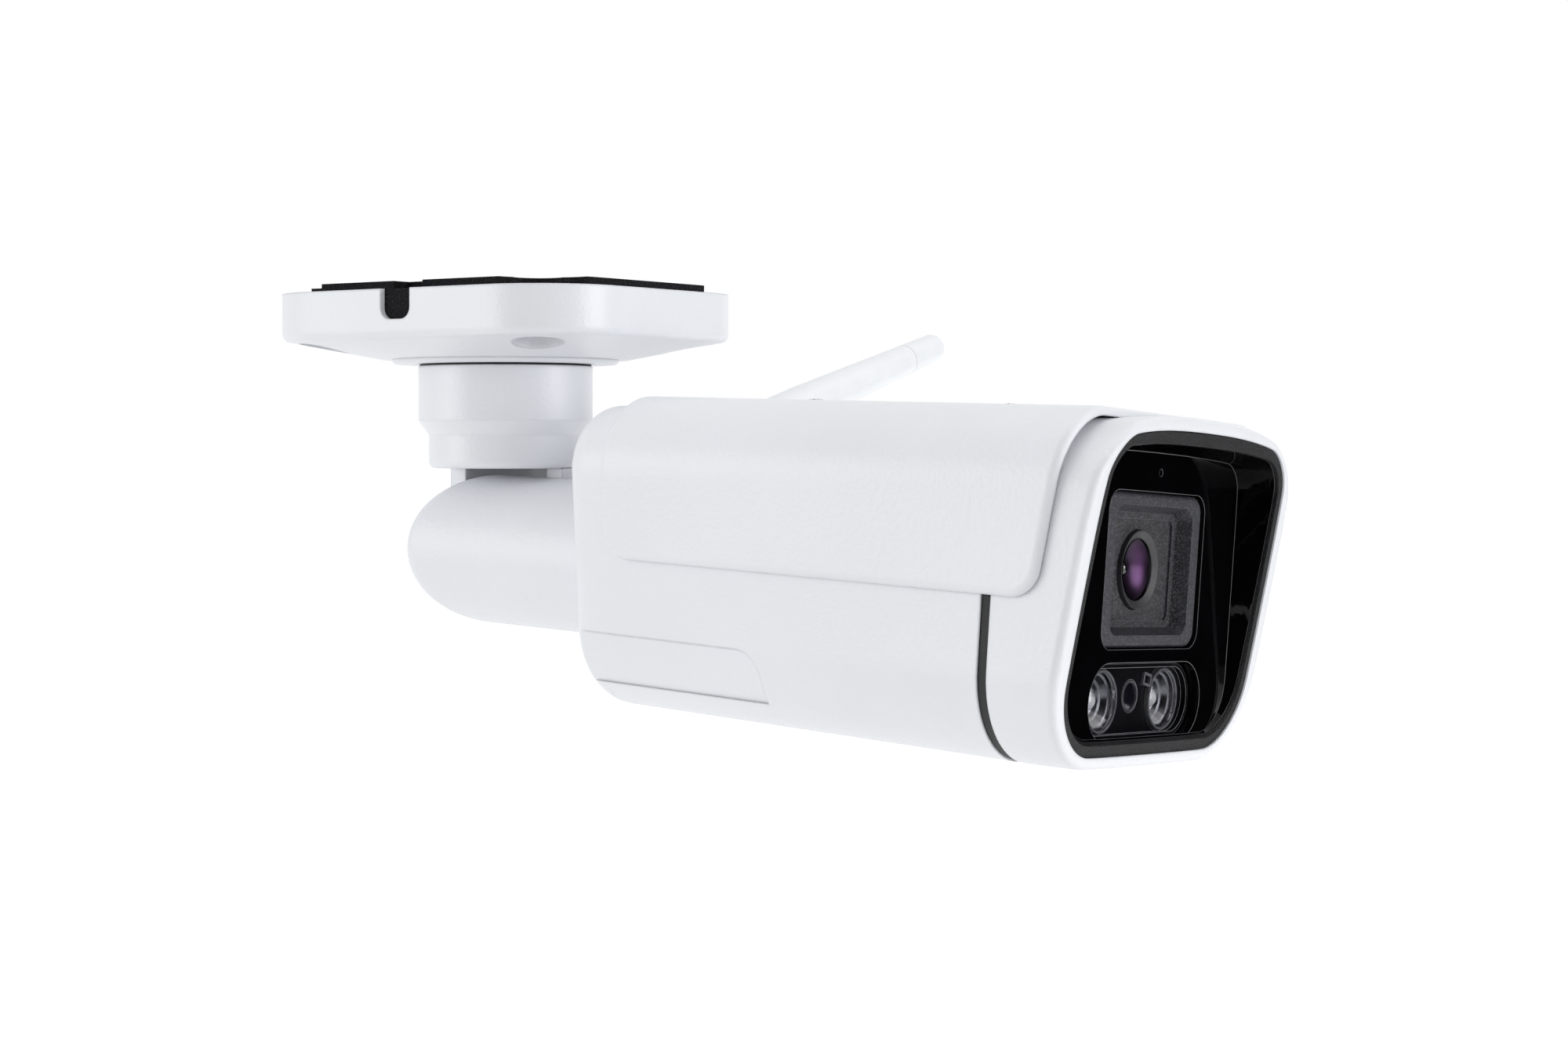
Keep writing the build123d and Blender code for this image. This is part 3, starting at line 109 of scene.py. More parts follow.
# Seats of the two screw heads on the sunshield in the head's frame, in metres
SCREW_SEATS = (Vector((0.084, 0, 0.03665)), Vector((0.132, 0, 0.03763)))

roll_joint = next(joint for joint in frame["joints"] if joint["name"] == "roll")
HEAD_ROLL = math.radians(3.1)


def head_matrix():
    """Frame of the head: X is the way it looks, Z is its own up, the origin is the tilt pivot."""
    forward = Vector(roll_joint["axis"]).normalized()
    level_up = (Vector((0, 0, 1)) - forward * forward.z).normalized()
    up = Matrix.Rotation(-HEAD_ROLL, 3, forward) @ level_up
    left = up.cross(forward)
    turn = Matrix((forward, left, up)).transposed().to_4x4()
    return Matrix.Translation(roll_joint["pos_m"]) @ turn


HEAD = head_matrix()
HEAD_BACK = HEAD.inverted()


class HousingLooks(bpy.types.PropertyGroup):
    """Finishes of the cast housing, the bracket and the antenna."""

    paint: bpy.props.StringProperty(
        name="Paint", description="sRGB colour of the powder coat", default="#E9EBEF"
    )
    peel: bpy.props.FloatProperty(
        name="Orange peel",
        description="Width of one ripple in the powder coat",
        default=1.0 * MM,
        **LENGTH,
    )
    plastic: bpy.props.StringProperty(
        name="Antenna plastic", description="sRGB colour of the antenna", default="#EDEFF2"
    )
    foam: bpy.props.StringProperty(
        name="Foam", description="sRGB colour of the gasket foam", default="#1A1A1D"
    )
    foam_cell: bpy.props.FloatProperty(
        name="Foam cell", description="Width of one cut cell of the foam", default=0.5 * MM, **LENGTH
    )
    rubber: bpy.props.StringProperty(
        name="Rubber", description="sRGB colour of the seals", default="#161618"
    )


class FrontLooks(bpy.types.PropertyGroup):
    """Finishes and sizes of the black front, the lens and the lamps."""

    panel: bpy.props.StringProperty(
        name="Panel", description="sRGB colour of the polished panel", default="#040405"
    )
    frame: bpy.props.StringProperty(
        name="Lens frame", description="sRGB colour of the frame's front face", default="#2B2B31"
    )
    floor: bpy.props.StringProperty(
        name="Frame floor", description="sRGB colour of the sunk floor round the lens", default="#1E1C1F"
    )
    speck: bpy.props.StringProperty(
        name="Speck", description="sRGB colour of a grain that catches the light", default="#4A474E"
    )
    lip: bpy.props.StringProperty(
        name="Hood lip", description="sRGB colour of the grained lip", default="#0B0B0D"
    )
    grain: bpy.props.FloatProperty(
        name="Grain",
        description="Width of one grain of the spark-eroded texture",
        default=0.3 * MM,
        **LENGTH,
    )
    coating: bpy.props.StringProperty(
        name="Lens coating", description="sRGB colour that the lens coating reflects", default="#412849"
    )
    top_corner: bpy.props.FloatProperty(
        name="Top corner pull",
        description="How strongly the hood's upper corners draw in",
        default=5.0 * MM,
        **LENGTH,
    )
    bottom_corner: bpy.props.FloatProperty(
        name="Bottom corner pull",
        description="How strongly the hood's lower corners draw in",
        default=3.0 * MM,
        **LENGTH,
    )
    crown: bpy.props.FloatProperty(
        name="Crown", description="How strongly the hood's top edge is arched", default=2.5 * MM, **LENGTH
    )
    lens_height: bpy.props.FloatProperty(
        name="Lens height", description="Height of the lens over the roll axis", default=7.5 * MM, **LENGTH
    )
    lamp_drop: bpy.props.FloatProperty(
        name="Lamp drop", description="Depth of the lamps under the roll axis", default=18.2 * MM, **LENGTH
    )
    lamp_pitch: bpy.props.FloatProperty(
        name="Lamp pitch", description="Distance between the two lamps", default=25.7 * MM, **LENGTH
    )
    sensor_drop: bpy.props.FloatProperty(
        name="Light sensor drop",
        description="Depth of the light sensor under the roll axis",
        default=17.4 * MM,
        **LENGTH,
    )


class StudioSetup(bpy.types.PropertyGroup):
    """Floor, light and camera."""

    floor_drop: bpy.props.FloatProperty(
        name="Floor drop",
        description="Distance from the ceiling face down to the floor",
        default=0.42,
        **LENGTH,
    )
    ambient: bpy.props.FloatProperty(
        name="Ambient", description="Strength of the surrounding light", default=0.68, min=0.0
    )
    left: bpy.props.FloatProperty(
        name="Left softbox", description="Power of the left softbox", default=4.0, **POWER
    )
    right: bpy.props.FloatProperty(
        name="Right softbox", description="Power of the right softbox", default=5.8, **POWER
    )
    top: bpy.props.FloatProperty(
        name="Top softbox", description="Power of the overhead softbox", default=3.6, **POWER
    )
    lens: bpy.props.FloatProperty(
        name="Focal length", description="Focal length on a 36 mm sensor", default=63.0, unit="CAMERA"
    )


def linear(colour):
    """Linear RGBA of an sRGB hex colour."""
    parts = [int(colour[i : i + 2], 16) / 255 for i in (1, 3, 5)]
    return [p / 12.92 if p <= 0.04045 else ((p + 0.055) / 1.055) ** 2.4 for p in parts] + [1.0]


def shade(colour, factor):
    """The same sRGB hex colour made lighter or darker."""
    parts = [int(colour[i : i + 2], 16) for i in (1, 3, 5)]
    return "#" + "".join(f"{max(0, min(255, round(p * factor))):02X}" for p in parts)


def add_node(tree, kind, settings=None, inputs=None):
    """Add one shader node, set its options or ramp stops, and fill or link its inputs."""
    made = tree.nodes.new(kind)
    for key, value in (settings or {}).items():
        if key != "stops":
            setattr(made, key, value)
            continue
        while len(made.color_ramp.elements) < len(value):
            made.color_ramp.elements.new(1.0)
        for element, (position, colour) in zip(made.color_ramp.elements, value):
            element.position = position
            element.color = linear(colour)
    for socket, value in (inputs or {}).items():
        if isinstance(value, bpy.types.NodeSocket):
            tree.links.new(value, made.inputs[socket])
        else:
            made.inputs[socket].default_value = value
    return made


def new_material(name):
    """Empty node material; returns it, its tree and the Object coordinates that patterns lie on."""
    material = bpy.data.materials.new(name)
    material.use_nodes = True
    tree = material.node_tree
    tree.nodes.clear()
    return material, tree, add_node(tree, "ShaderNodeTexCoord").outputs["Object"]


def mottled(name, spot, colours, gloss, relief, **sockets):
    """Material whose colour, gloss and relief wander together in spots of one real size."""
    material, tree, place = new_material(name)
    spots = add_node(
        tree,
        "ShaderNodeTexNoise",
        inputs={"Vector": place, "Scale": 1 / spot, "Detail": 4.0, "Roughness": 0.6},
    )
    tone = add_node(
        tree,
        "ShaderNodeValToRGB",
        {"stops": [(0.3, colours[0]), (0.7, colours[1])]},
        {"Fac": spots.outputs["Fac"]},
    )
    rough = add_node(
        tree,
        "ShaderNodeMapRange",
        inputs={"Value": spots.outputs["Fac"], "To Min": gloss[0], "To Max": gloss[1]},
    )
    bump = add_node(
        tree,
        "ShaderNodeBump",
        inputs={"Strength": relief, "Distance": spot / 4, "Height": spots.outputs["Fac"]},
    )
    shader = add_node(
        tree,
        "ShaderNodeBsdfPrincipled",
        inputs={
            "Base Color": tone.outputs["Color"],
            "Roughness": rough.outputs["Result"],
            "Normal": bump.outputs["Normal"],
            **sockets,
        },
    )
    add_node(tree, "ShaderNodeOutputMaterial", inputs={"Surface": shader.outputs["BSDF"]})
    return material


def powder_coat(looks):
    """Polyester powder coat on die-cast aluminium: satin white with a fine orange peel."""
    material, tree, place = new_material("powder_coat_white")
    peel = add_node(
        tree,
        "ShaderNodeTexNoise",
        inputs={"Vector": place, "Scale": 1 / looks.peel, "Detail": 2.0, "Roughness": 0.45},
    )
    # Drifts of the spray gun, about 35 mm wide, that shift tone and gloss by a trace
    drift = add_node(
        tree,
        "ShaderNodeTexNoise",
        inputs={"Vector": place, "Scale": 1 / (35 * MM), "Detail": 3.0, "Roughness": 0.6},
    )
    tone = add_node(
        tree,
        "ShaderNodeValToRGB",
        {"stops": [(0.3, shade(looks.paint, 0.985)), (0.7, looks.paint)]},
        {"Fac": drift.outputs["Fac"]},
    )
    gloss = add_node(
        tree,
        "ShaderNodeMapRange",
        inputs={"Value": drift.outputs["Fac"], "To Min": 0.33, "To Max": 0.41},
    )
    # The powder flows over the casting's edges and leaves them round
    rounded = add_node(tree, "ShaderNodeBevel", {"samples": 4}, {"Radius": 0.9 * MM})
    bump = add_node(
        tree,
        "ShaderNodeBump",
        inputs={
            "Strength": 0.3,
            "Distance": 0.3 * MM,
            "Height": peel.outputs["Fac"],
            "Normal": rounded.outputs["Normal"],
        },
    )
    shader = add_node(
        tree,
        "ShaderNodeBsdfPrincipled",
        inputs={
            "Base Color": tone.outputs["Color"],
            "Roughness": gloss.outputs["Result"],
            "Normal": bump.outputs["Normal"],
            "IOR": 1.5,
        },
    )
    add_node(tree, "ShaderNodeOutputMaterial", inputs={"Surface": shader.outputs["BSDF"]})
    return material


def closed_cell_foam(looks):
    """Closed-cell EVA foam: dull black, its cut cells show as grey flecks and pits."""
    material, tree, place = new_material("eva_foam_black")
    cells = add_node(
        tree, "ShaderNodeTexVoronoi", inputs={"Vector": place, "Scale": 1 / looks.foam_cell}
    )
    dust = add_node(
        tree,
        "ShaderNodeTexNoise",
        inputs={"Vector": place, "Scale": 1 / looks.foam_cell, "Detail": 4.0, "Roughness": 0.7},
    )
    tone = add_node(
        tree,
        "ShaderNodeValToRGB",
        {"stops": [(0.35, shade(looks.foam, 0.5)), (0.55, looks.foam), (0.72, shade(looks.foam, 2.4))]},
        {"Fac": dust.outputs["Fac"]},
    )
    bump = add_node(
        tree,
        "ShaderNodeBump",
        inputs={"Strength": 0.7, "Distance": 0.3 * MM, "Height": cells.outputs["Distance"]},
    )
    shader = add_node(
        tree,
        "ShaderNodeBsdfPrincipled",
        inputs={
            "Base Color": tone.outputs["Color"],
            "Roughness": 0.95,
            "Normal": bump.outputs["Normal"],
            "Specular IOR Level": 0.2,
        },
    )
    add_node(tree, "ShaderNodeOutputMaterial", inputs={"Surface": shader.outputs["BSDF"]})
    return material


def painted_edge_highlight(tree, radius):
    """Normal with the edges rounded, and a share that is one where a painted highlight lightens them."""
    rounded = add_node(tree, "ShaderNodeBevel", {"samples": 8}, {"Radius": radius})
    plain = add_node(tree, "ShaderNodeNewGeometry")
    turn = add_node(
        tree,
        "ShaderNodeVectorMath",
        {"operation": "DOT_PRODUCT"},
        {0: rounded.outputs["Normal"], 1: plain.outputs["Normal"]},
    )
    share = add_node(
        tree,
        "ShaderNodeMapRange",
        inputs={"Value": turn.outputs["Value"], "From Min": HIGHLIGHT_START, "From Max": HIGHLIGHT_FULL},
    )
    return rounded.outputs["Normal"], share.outputs["Result"]


def polished_black(name, colour, gloss, edge, highlight_colour):
    """Injection-moulded black plastic: deep black, smooth, and its edges get a painted highlight."""
    material, tree, place = new_material(name)
    # Wiping leaves faint patches about 11 mm wide that only the reflections show
    wipe = add_node(
        tree,
        "ShaderNodeTexNoise",
        inputs={"Vector": place, "Scale": 1 / (11 * MM), "Detail": 5.0, "Roughness": 0.6},
    )
    tone = add_node(
        tree,
        "ShaderNodeValToRGB",
        {"stops": [(0.4, colour), (0.8, shade(colour, 1.6))]},
        {"Fac": wipe.outputs["Fac"]},
    )
    rough = add_node(
        tree,
        "ShaderNodeMapRange",
        inputs={"Value": wipe.outputs["Fac"], "To Min": gloss, "To Max": gloss + 0.05},
    )
    # The edges get a painted highlight: their base colour turns to the lighter highlight colour
    rounded, highlight_share = painted_edge_highlight(tree, edge)
    highlit = add_node(
        tree,
        "ShaderNodeMix",
        {"data_type": "RGBA"},
        {"Factor": highlight_share, 6: tone.outputs["Color"], 7: linear(highlight_colour)},
    )
    shader = add_node(
        tree,
        "ShaderNodeBsdfPrincipled",
        inputs={
            "Base Color": highlit.outputs[2],
            "Roughness": rough.outputs["Result"],
            "Normal": rounded,
            "IOR": 1.49,
            "Specular IOR Level": 0.2,
        },
    )
    add_node(tree, "ShaderNodeOutputMaterial", inputs={"Surface": shader.outputs["BSDF"]})
    return material


def grained_lip(looks):
    """Spark-eroded ABS of the hood's lip: near black, and each grain catches the light as a tiny speck."""
    material, tree, place = new_material("abs_grained_lip")
    # The real grain is about 0.1 mm and is drawn three times as wide to show
    grain = add_node(tree, "ShaderNodeTexVoronoi", inputs={"Vector": place, "Scale": 1 / looks.grain})
    tone = add_node(
        tree,
        "ShaderNodeValToRGB",
        {"stops": [(0.3, shade(looks.lip, 0.6)), (0.55, looks.lip), (0.8, shade(looks.lip, 2.4))]},
        {"Fac": grain.outputs["Color"]},
    )
    rounded = add_node(tree, "ShaderNodeBevel", {"samples": 8}, {"Radius": 0.3 * MM})
    bump = add_node(
        tree,
        "ShaderNodeBump",
        inputs={
            "Strength": 0.7,
            "Distance": 0.2 * MM,
            "Height": grain.outputs["Distance"],
            "Normal": rounded.outputs["Normal"],
        },
    )
    shader = add_node(
        tree,
        "ShaderNodeBsdfPrincipled",
        inputs={
            "Base Color": tone.outputs["Color"],
            "Roughness": 0.5,
            "Normal": bump.outputs["Normal"],
            "Specular IOR Level": 0.3,
        },
    )
    add_node(tree, "ShaderNodeOutputMaterial", inputs={"Surface": shader.outputs["BSDF"]})
    return material


def grained_frame(looks):
    """Spark-eroded ABS of the lens frame: fine on the front face, coarse and dark on the sunk floor."""
    material, tree, place = new_material("abs_grained_frame")
    forward = HEAD.to_3x3().col[0]
    start = HEAD.translation.dot(forward)
    station = add_node(
        tree, "ShaderNodeVectorMath", {"operation": "DOT_PRODUCT"}, {0: place, 1: tuple(forward)}
    )
    # Nought on the floor and one on the front face
    height = add_node(
        tree,
        "ShaderNodeMapRange",
        inputs={
            "Value": station.outputs["Value"],
            "From Min": start + (FRAME_FLOOR + 0.7) * MM,
            "From Max": start + (FRAME_FRONT - 1.0) * MM,
        },
    )
    # The real grain is about 0.1 mm and is drawn three times as wide to show
    grain = add_node(tree, "ShaderNodeTexVoronoi", inputs={"Vector": place, "Scale": 1 / looks.grain})
    face_tone = add_node(
        tree,
        "ShaderNodeValToRGB",
        {"stops": [(0.3, shade(looks.frame, 0.75)), (0.55, looks.frame), (0.85, shade(looks.frame, 1.6))]},
        {"Fac": grain.outputs["Color"]},
    )
    floor_tone = add_node(
        tree,
        "ShaderNodeValToRGB",
        {"stops": [(0.3, shade(looks.floor, 0.6)), (0.55, looks.floor), (0.8, looks.speck)]},
        {"Fac": grain.outputs["Color"]},
    )
    tone = add_node(
        tree,
        "ShaderNodeMix",
        {"data_type": "RGBA"},
        {"Factor": height.outputs["Result"], 6: floor_tone.outputs["Color"], 7: face_tone.outputs["Color"]},
    )
    depth = add_node(
        tree,
        "ShaderNodeMapRange",
        inputs={"Value": height.outputs["Result"], "To Min": 0.9, "To Max": 0.4},
    )
    # The frame's edges get a painted highlight, the frame's colour made 2.2 times lighter
    rounded, highlight_share = painted_edge_highlight(tree, 0.25 * MM)
    highlit = add_node(
        tree,
        "ShaderNodeMix",
        {"data_type": "RGBA"},
        {"Factor": highlight_share, 6: tone.outputs[2], 7: linear(shade(looks.frame, 2.2))},
    )
    bump = add_node(
        tree,
        "ShaderNodeBump",
        inputs={
            "Strength": depth.outputs["Result"],
            "Distance": 0.2 * MM,
            "Height": grain.outputs["Distance"],
            "Normal": rounded,
        },
    )
    shader = add_node(
        tree,
        "ShaderNodeBsdfPrincipled",
        inputs={"Base Color": highlit.outputs[2], "Roughness": 0.5, "Normal": bump.outputs["Normal"]},
    )
    add_node(tree, "ShaderNodeOutputMaterial", inputs={"Surface": shader.outputs["BSDF"]})
    return material


def clear_solid(name, tint, sheen, dust, ior):
    """Clear moulded or polished solid: light goes through it, with a trace of haze in patches."""
    material, tree, place = new_material(name)
    haze = add_node(
        tree,
        "ShaderNodeTexNoise",
        inputs={"Vector": place, "Scale": 1 / (2 * MM), "Detail": 3.0, "Roughness": 0.6},
    )
    rough = add_node(
        tree,
        "ShaderNodeMapRange",
        inputs={"Value": haze.outputs["Fac"], "To Min": 0.0, "To Max": dust},
    )
    shader = add_node(
        tree,
        "ShaderNodeBsdfPrincipled",
        inputs={
            "Base Color": linear(tint),
            "Roughness": rough.outputs["Result"],
            "Specular Tint": linear(sheen),
            "IOR": ior,
            "Transmission Weight": 1.0,
        },
    )
    add_node(tree, "ShaderNodeOutputMaterial", inputs={"Surface": shader.outputs["BSDF"]})
    return material


def coated_glass(looks):
    """Multi-coated optical glass: a dark mirror that reflects violet, with painted reflection rings, pale
    near its rim and dark in the middle and at the edge.
    """
    material, tree, place = new_material("optical_glass_coated_painted_rings")
    centre = HEAD @ Vector((GLASS_REAR * MM, 0, looks.lens_height))
    offset = add_node(
        tree, "ShaderNodeVectorMath", {"operation": "DISTANCE"}, {0: place, 1: tuple(centre)}
    )
    # The violet is the coating's own colour; the ramp's dark middle, pale ring and dark rim are painted
    # reflection rings
    out = add_node(
        tree,
        "ShaderNodeMapRange",
        inputs={"Value": offset.outputs["Value"], "From Min": 0.0, "From Max": GLASS_RADIUS * MM},
    )
    tone = add_node(
        tree,
        "ShaderNodeValToRGB",
        {
            "stops": [
                (0.0, shade(looks.coating, 0.55)),
                (0.45, shade(looks.coating, 0.85)),
                (0.75, looks.coating),
                (1.0, shade(looks.coating, 0.6)),
            ]
        },
        {"Fac": out.outputs["Result"]},
    )
    shader = add_node(
        tree,
        "ShaderNodeBsdfPrincipled",
        inputs={"Base Color": tone.outputs["Color"], "Metallic": 0.85, "Roughness": 0.3},
    )
    add_node(tree, "ShaderNodeOutputMaterial", inputs={"Surface": shader.outputs["BSDF"]})
    return material


def circuit_board():
    """Glass-epoxy board under green solder mask: copper tracks show paler through the mask."""
    material, tree, place = new_material("fr4_solder_mask_green")
    tracks = add_node(
        tree,
        "ShaderNodeTexBrick",
        inputs={
            "Vector": place,
            "Color1": linear("#0F4A2C"),
            "Color2": linear("#12553A"),
            "Mortar": linear("#2F7D50"),
            "Scale": 1 / (4 * MM),
            "Mortar Size": 0.06,
        },
    )
    bump = add_node(
        tree,
        "ShaderNodeBump",
        inputs={"Strength": 0.3, "Distance": 0.04 * MM, "Height": tracks.outputs["Fac"]},
    )
    shader = add_node(
        tree,
        "ShaderNodeBsdfPrincipled",
        inputs={"Base Color": tracks.outputs["Color"], "Roughness": 0.35, "Normal": bump.outputs["Normal"]},
    )
    add_node(tree, "ShaderNodeOutputMaterial", inputs={"Surface": shader.outputs["BSDF"]})
    return material


def dressed(material, *names):
    """Give one finish to CAD pieces by name."""
    for name in names:
        mesh = nodes[name].data
        mesh.materials.clear()
        mesh.materials.append(material)


def dome(apex, edge, radius, steps=12):
    """Points of a spherical cap from its edge to its apex on the axis, in millimetres."""
    rise = apex - edge
    curve = (radius**2 + rise**2) / (2 * abs(rise))
    widest = math.asin(radius / curve)
    points = []
    for step in range(steps + 1):
        angle = widest * (1 - step / steps)
        points.append((apex - math.copysign(curve * (1 - math.cos(angle)), rise), curve * math.sin(angle)))
    return points


def pick(piece):
    """Select one piece alone and make it active."""
    bpy.ops.object.select_all(action="DESELECT")
    piece.select_set(True)
    bpy.context.view_layer.objects.active = piece


def started(name, add, **options):
    """Add one primitive alone and open it in edit mode with all of it selected."""
    bpy.ops.object.select_all(action="DESELECT")
    add(**options)
    piece = bpy.context.active_object
    piece.name = name
    bpy.ops.object.mode_set(mode="EDIT")
    bpy.ops.mesh.select_all(action="SELECT")
    return piece


def spun(name, profile, start=0.0):
    """Turned piece about X: (station from start, radius) in mm, drawn point by point and spun."""
    piece = started(name, bpy.ops.mesh.primitive_plane_add, size=MM)
    bpy.ops.mesh.merge(type="CENTER")
    bpy.ops.transform.translate(value=((start + profile[0][0]) * MM, 0, profile[0][1] * MM))
    for (station, radius), (next_station, next_radius) in zip(profile, profile[1:]):
        step = ((next_station - station) * MM, 0, (next_radius - radius) * MM)
        bpy.ops.mesh.extrude_vertices_move(TRANSFORM_OT_translate={"value": step})
    bpy.ops.mesh.select_all(action="SELECT")
    bpy.ops.mesh.spin(steps=SPIN_STEPS, angle=2 * math.pi, center=(0, 0, 0), axis=(1, 0, 0))
    bpy.ops.mesh.select_all(action="SELECT")
    bpy.ops.mesh.remove_doubles(threshold=MERGE)
    bpy.ops.mesh.normals_make_consistent(inside=False)
    bpy.ops.object.mode_set(mode="OBJECT")
    return piece


def settled(piece, place, material, slot, *replaced):
    """Put a piece on the head at a place in the head's frame, and dress it."""
    pick(piece)
    piece.matrix_world = HEAD @ place
    bpy.ops.object.transform_apply(location=True, rotation=True, scale=True)
    bpy.ops.object.shade_smooth_by_angle(angle=SMOOTH)
    piece.data.materials.append(material)
    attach(piece, "head")
    if replaced:
        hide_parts(*replaced)
    return piece


def twin(piece, name, step):
    """Copy of a settled piece with a mesh of its own, moved by a step in the head's frame."""
    pick(piece)
    bpy.ops.object.duplicate(linked=False)
    copy = bpy.context.active_object
    copy.name = name
    bpy.ops.object.mode_set(mode="EDIT")
    bpy.ops.mesh.select_all(action="SELECT")
    bpy.ops.transform.translate(value=HEAD.to_3x3() @ Vector(step))
    bpy.ops.object.mode_set(mode="OBJECT")
    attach(copy, "head")
    return copy


class BULLETCAM_OT_paint_housing(bpy.types.Operator):
    """Coat the cast housing and the bracket in white powder"""

    bl_idname = "bulletcam.paint_housing"
    bl_label = "Paint Housing"

    def execute(self, context):
        looks = context.scene.bulletcam_housing
        dressed(
            powder_coat(looks),
            "base_plate",
            "swivel_post",
            "tilt_arm",
            "body_shell",
            "sunshield",
            "front_bezel",
        )
        return {"FINISHED"}


class BULLETCAM_OT_finish_antenna(bpy.types.Operator):
    """Give the antenna its moulded plastic and its plated connector"""

    bl_idname = "bulletcam.finish_antenna"
    bl_label = "Finish Antenna"

    def execute(self, context):
        plastic = context.scene.bulletcam_housing.plastic
        # Moulded ABS: white, smoother than the paint, with faint flow marks about 5 mm wide
        white = mottled(
            "abs_moulded_white", 5 * MM, (shade(plastic, 0.985), plastic), (0.34, 0.44), 0.01, IOR=1.53
        )
        dressed(white, "antenna_elbow", "antenna_rod", "antenna_cap")
        # Gold-plated brass: warm, bright, with soft plating bloom
        gold = mottled(
            "brass_gold_plated", 1.5 * MM, ("#B8934A", "#D2AE63"), (0.18, 0.32), 0.1, Metallic=1.0
        )
        dressed(gold, "antenna_socket", "antenna_nut")
        return {"FINISHED"}


class BULLETCAM_OT_finish_seals(bpy.types.Operator):
    """Give the gasket its foam and the seals their rubber"""

    bl_idname = "bulletcam.finish_seals"
    bl_label = "Finish Seals"

    def execute(self, context):
        looks = context.scene.bulletcam_housing
        # The notch plug is a block of the gasket's black foam in the cable notch; it partly stands as painted
        # shade for the hollow of the base behind it
        dressed(closed_cell_foam(looks), "foam_gasket", "notch_plug")
        # Moulded EPDM rubber: black and dull, with a soft bloom in patches
        rubber = mottled(
            "epdm_rubber_black", 6 * MM, (shade(looks.rubber, 0.7), shade(looks.rubber, 1.2)), (0.5, 0.7), 0.1
        )
        dressed(rubber, "pan_seal", "roll_seal", "bezel_seal", "cable_grommet")
        return {"FINISHED"}


class BULLETCAM_OT_finish_hardware(bpy.types.Operator):
    """Give the nuts, screws, washers, boards and chips their finishes"""

    bl_idname = "bulletcam.finish_hardware"
    bl_label = "Finish Hardware"

    def execute(self, context):
        # Zinc-plated steel: cool grey with the spangle and bloom of bright zinc
        zinc = mottled(
            "steel_zinc_plated", 1.2 * MM, ("#8E9196", "#B9BCC0"), (0.28, 0.42), 0.15, Metallic=1.0
        )
        dressed(zinc, "pan_nut", "roll_nut", "tilt_screw", "tilt_washer", "bezel_screws", "antenna_pin")
        # Natural nylon: waxy cream with a soft sheen
        nylon = mottled(
            "nylon_natural",
            3 * MM,
            ("#DAD6C8", "#E6E2D6"),
            (0.4, 0.5),
            0.05,
            IOR=1.53,
            **{"Subsurface Weight": 0.2, "Subsurface Scale": 1 * MM},
        )
        dressed(nylon, "pan_washer", "roll_washer")
        # Pressed aramid fibre: brown and dry, with matted fibres
        fibre = mottled("aramid_fibre_pressed", 0.6 * MM, ("#5A4A36", "#7C6A4E"), (0.75, 0.9), 0.5)
        dressed(fibre, "friction_disc")
        # Tinplate can of the radio: bright, with rolling bloom
        tinplate = mottled(
            "tinplate_bright", 2 * MM, ("#A9ABAF", "#C4C6C9"), (0.22, 0.34), 0.08, Metallic=1.0
        )
        dressed(tinplate, "radio_module")
        # Moulded epoxy of the chips: charcoal, fine and dull
        epoxy = mottled("epoxy_moulded_black", 0.3 * MM, ("#141416", "#222225"), (0.5, 0.62), 0.2)
        dressed(epoxy, "processor", "image_sensor")
        dressed(circuit_board(), "main_board", "sensor_board", "led_board")
        # Phosphor in silicone over the lamp die: pale yellow and soft
        phosphor = mottled(
            "silicone_phosphor", 0.4 * MM, ("#D9C25A", "#EBD97E"), (0.35, 0.5), 0.15, IOR=1.41
        )
        dressed(phosphor, "led_chips")
        return {"FINISHED"}


class BULLETCAM_OT_finish_front(bpy.types.Operator):
    """Give the black front its polished panel, lamp tray, grained lip and lens frame"""

    bl_idname = "bulletcam.finish_front"
    bl_label = "Finish Front"

    def execute(self, context):
        looks = context.scene.bulletcam_front
        # Polished acrylic of the panel: the deepest black, mirror-smooth, with a grey painted highlight on
        # its edges
        gloss_black = polished_black("pmma_polished_black", looks.panel, 0.02, 0.25 * MM, "#8E8E94")
        dressed(gloss_black, "front_panel")
        # Satin ABS of the lamp tray: black, softer in its reflections, with a paler painted highlight on its
        # edges
        satin_black = polished_black("abs_satin_black", "#0B0B0E", 0.2, 0.2 * MM, "#B4B4BA")
        dressed(satin_black, "led_tray")
        dressed(grained_lip(looks), "hood_liner")
        dressed(grained_frame(looks), "lens_frame")
        # Black anodised aluminium: satin charcoal with fine turning marks
        anodised = mottled(
            "aluminium_black_anodised", 0.5 * MM, ("#252527", "#333236"), (0.42, 0.52), 0.12
        )
        dressed(anodised, "lens_barrel", "lens_ring", "lens_holder", "microphone")
        return {"FINISHED"}


def softened(point, looks):
    """Place of a point of the hood once the corners are drawn in and the top edge is crowned."""
    local = HEAD_BACK @ point
    share = (local.x / MM - HOOD_START) / (HOOD_END - HOOD_START)
    share = max(0.0, min(1.0, share))
    share = share * share * (3 - 2 * share)
    across = local.y / MM / HOOD_HALF_WIDTH
    up = (local.z / MM - HOOD_MIDDLE) / HOOD_HALF_HEIGHT
    outward = Vector((0, across, up)).normalized()
    pull = looks.top_corner if up > 0 else looks.bottom_corner
    arch = looks.crown * (CROWN_TURN - across**2) * max(up, 0.0) ** CORNER_POWER
    drawn_in = HEAD @ (local - outward * pull * share * (across * up) ** CORNER_POWER)
    # The crown rises straight up, so that the pitched hood reaches no farther forward
    return drawn_in + Vector((0, 0, arch * share))


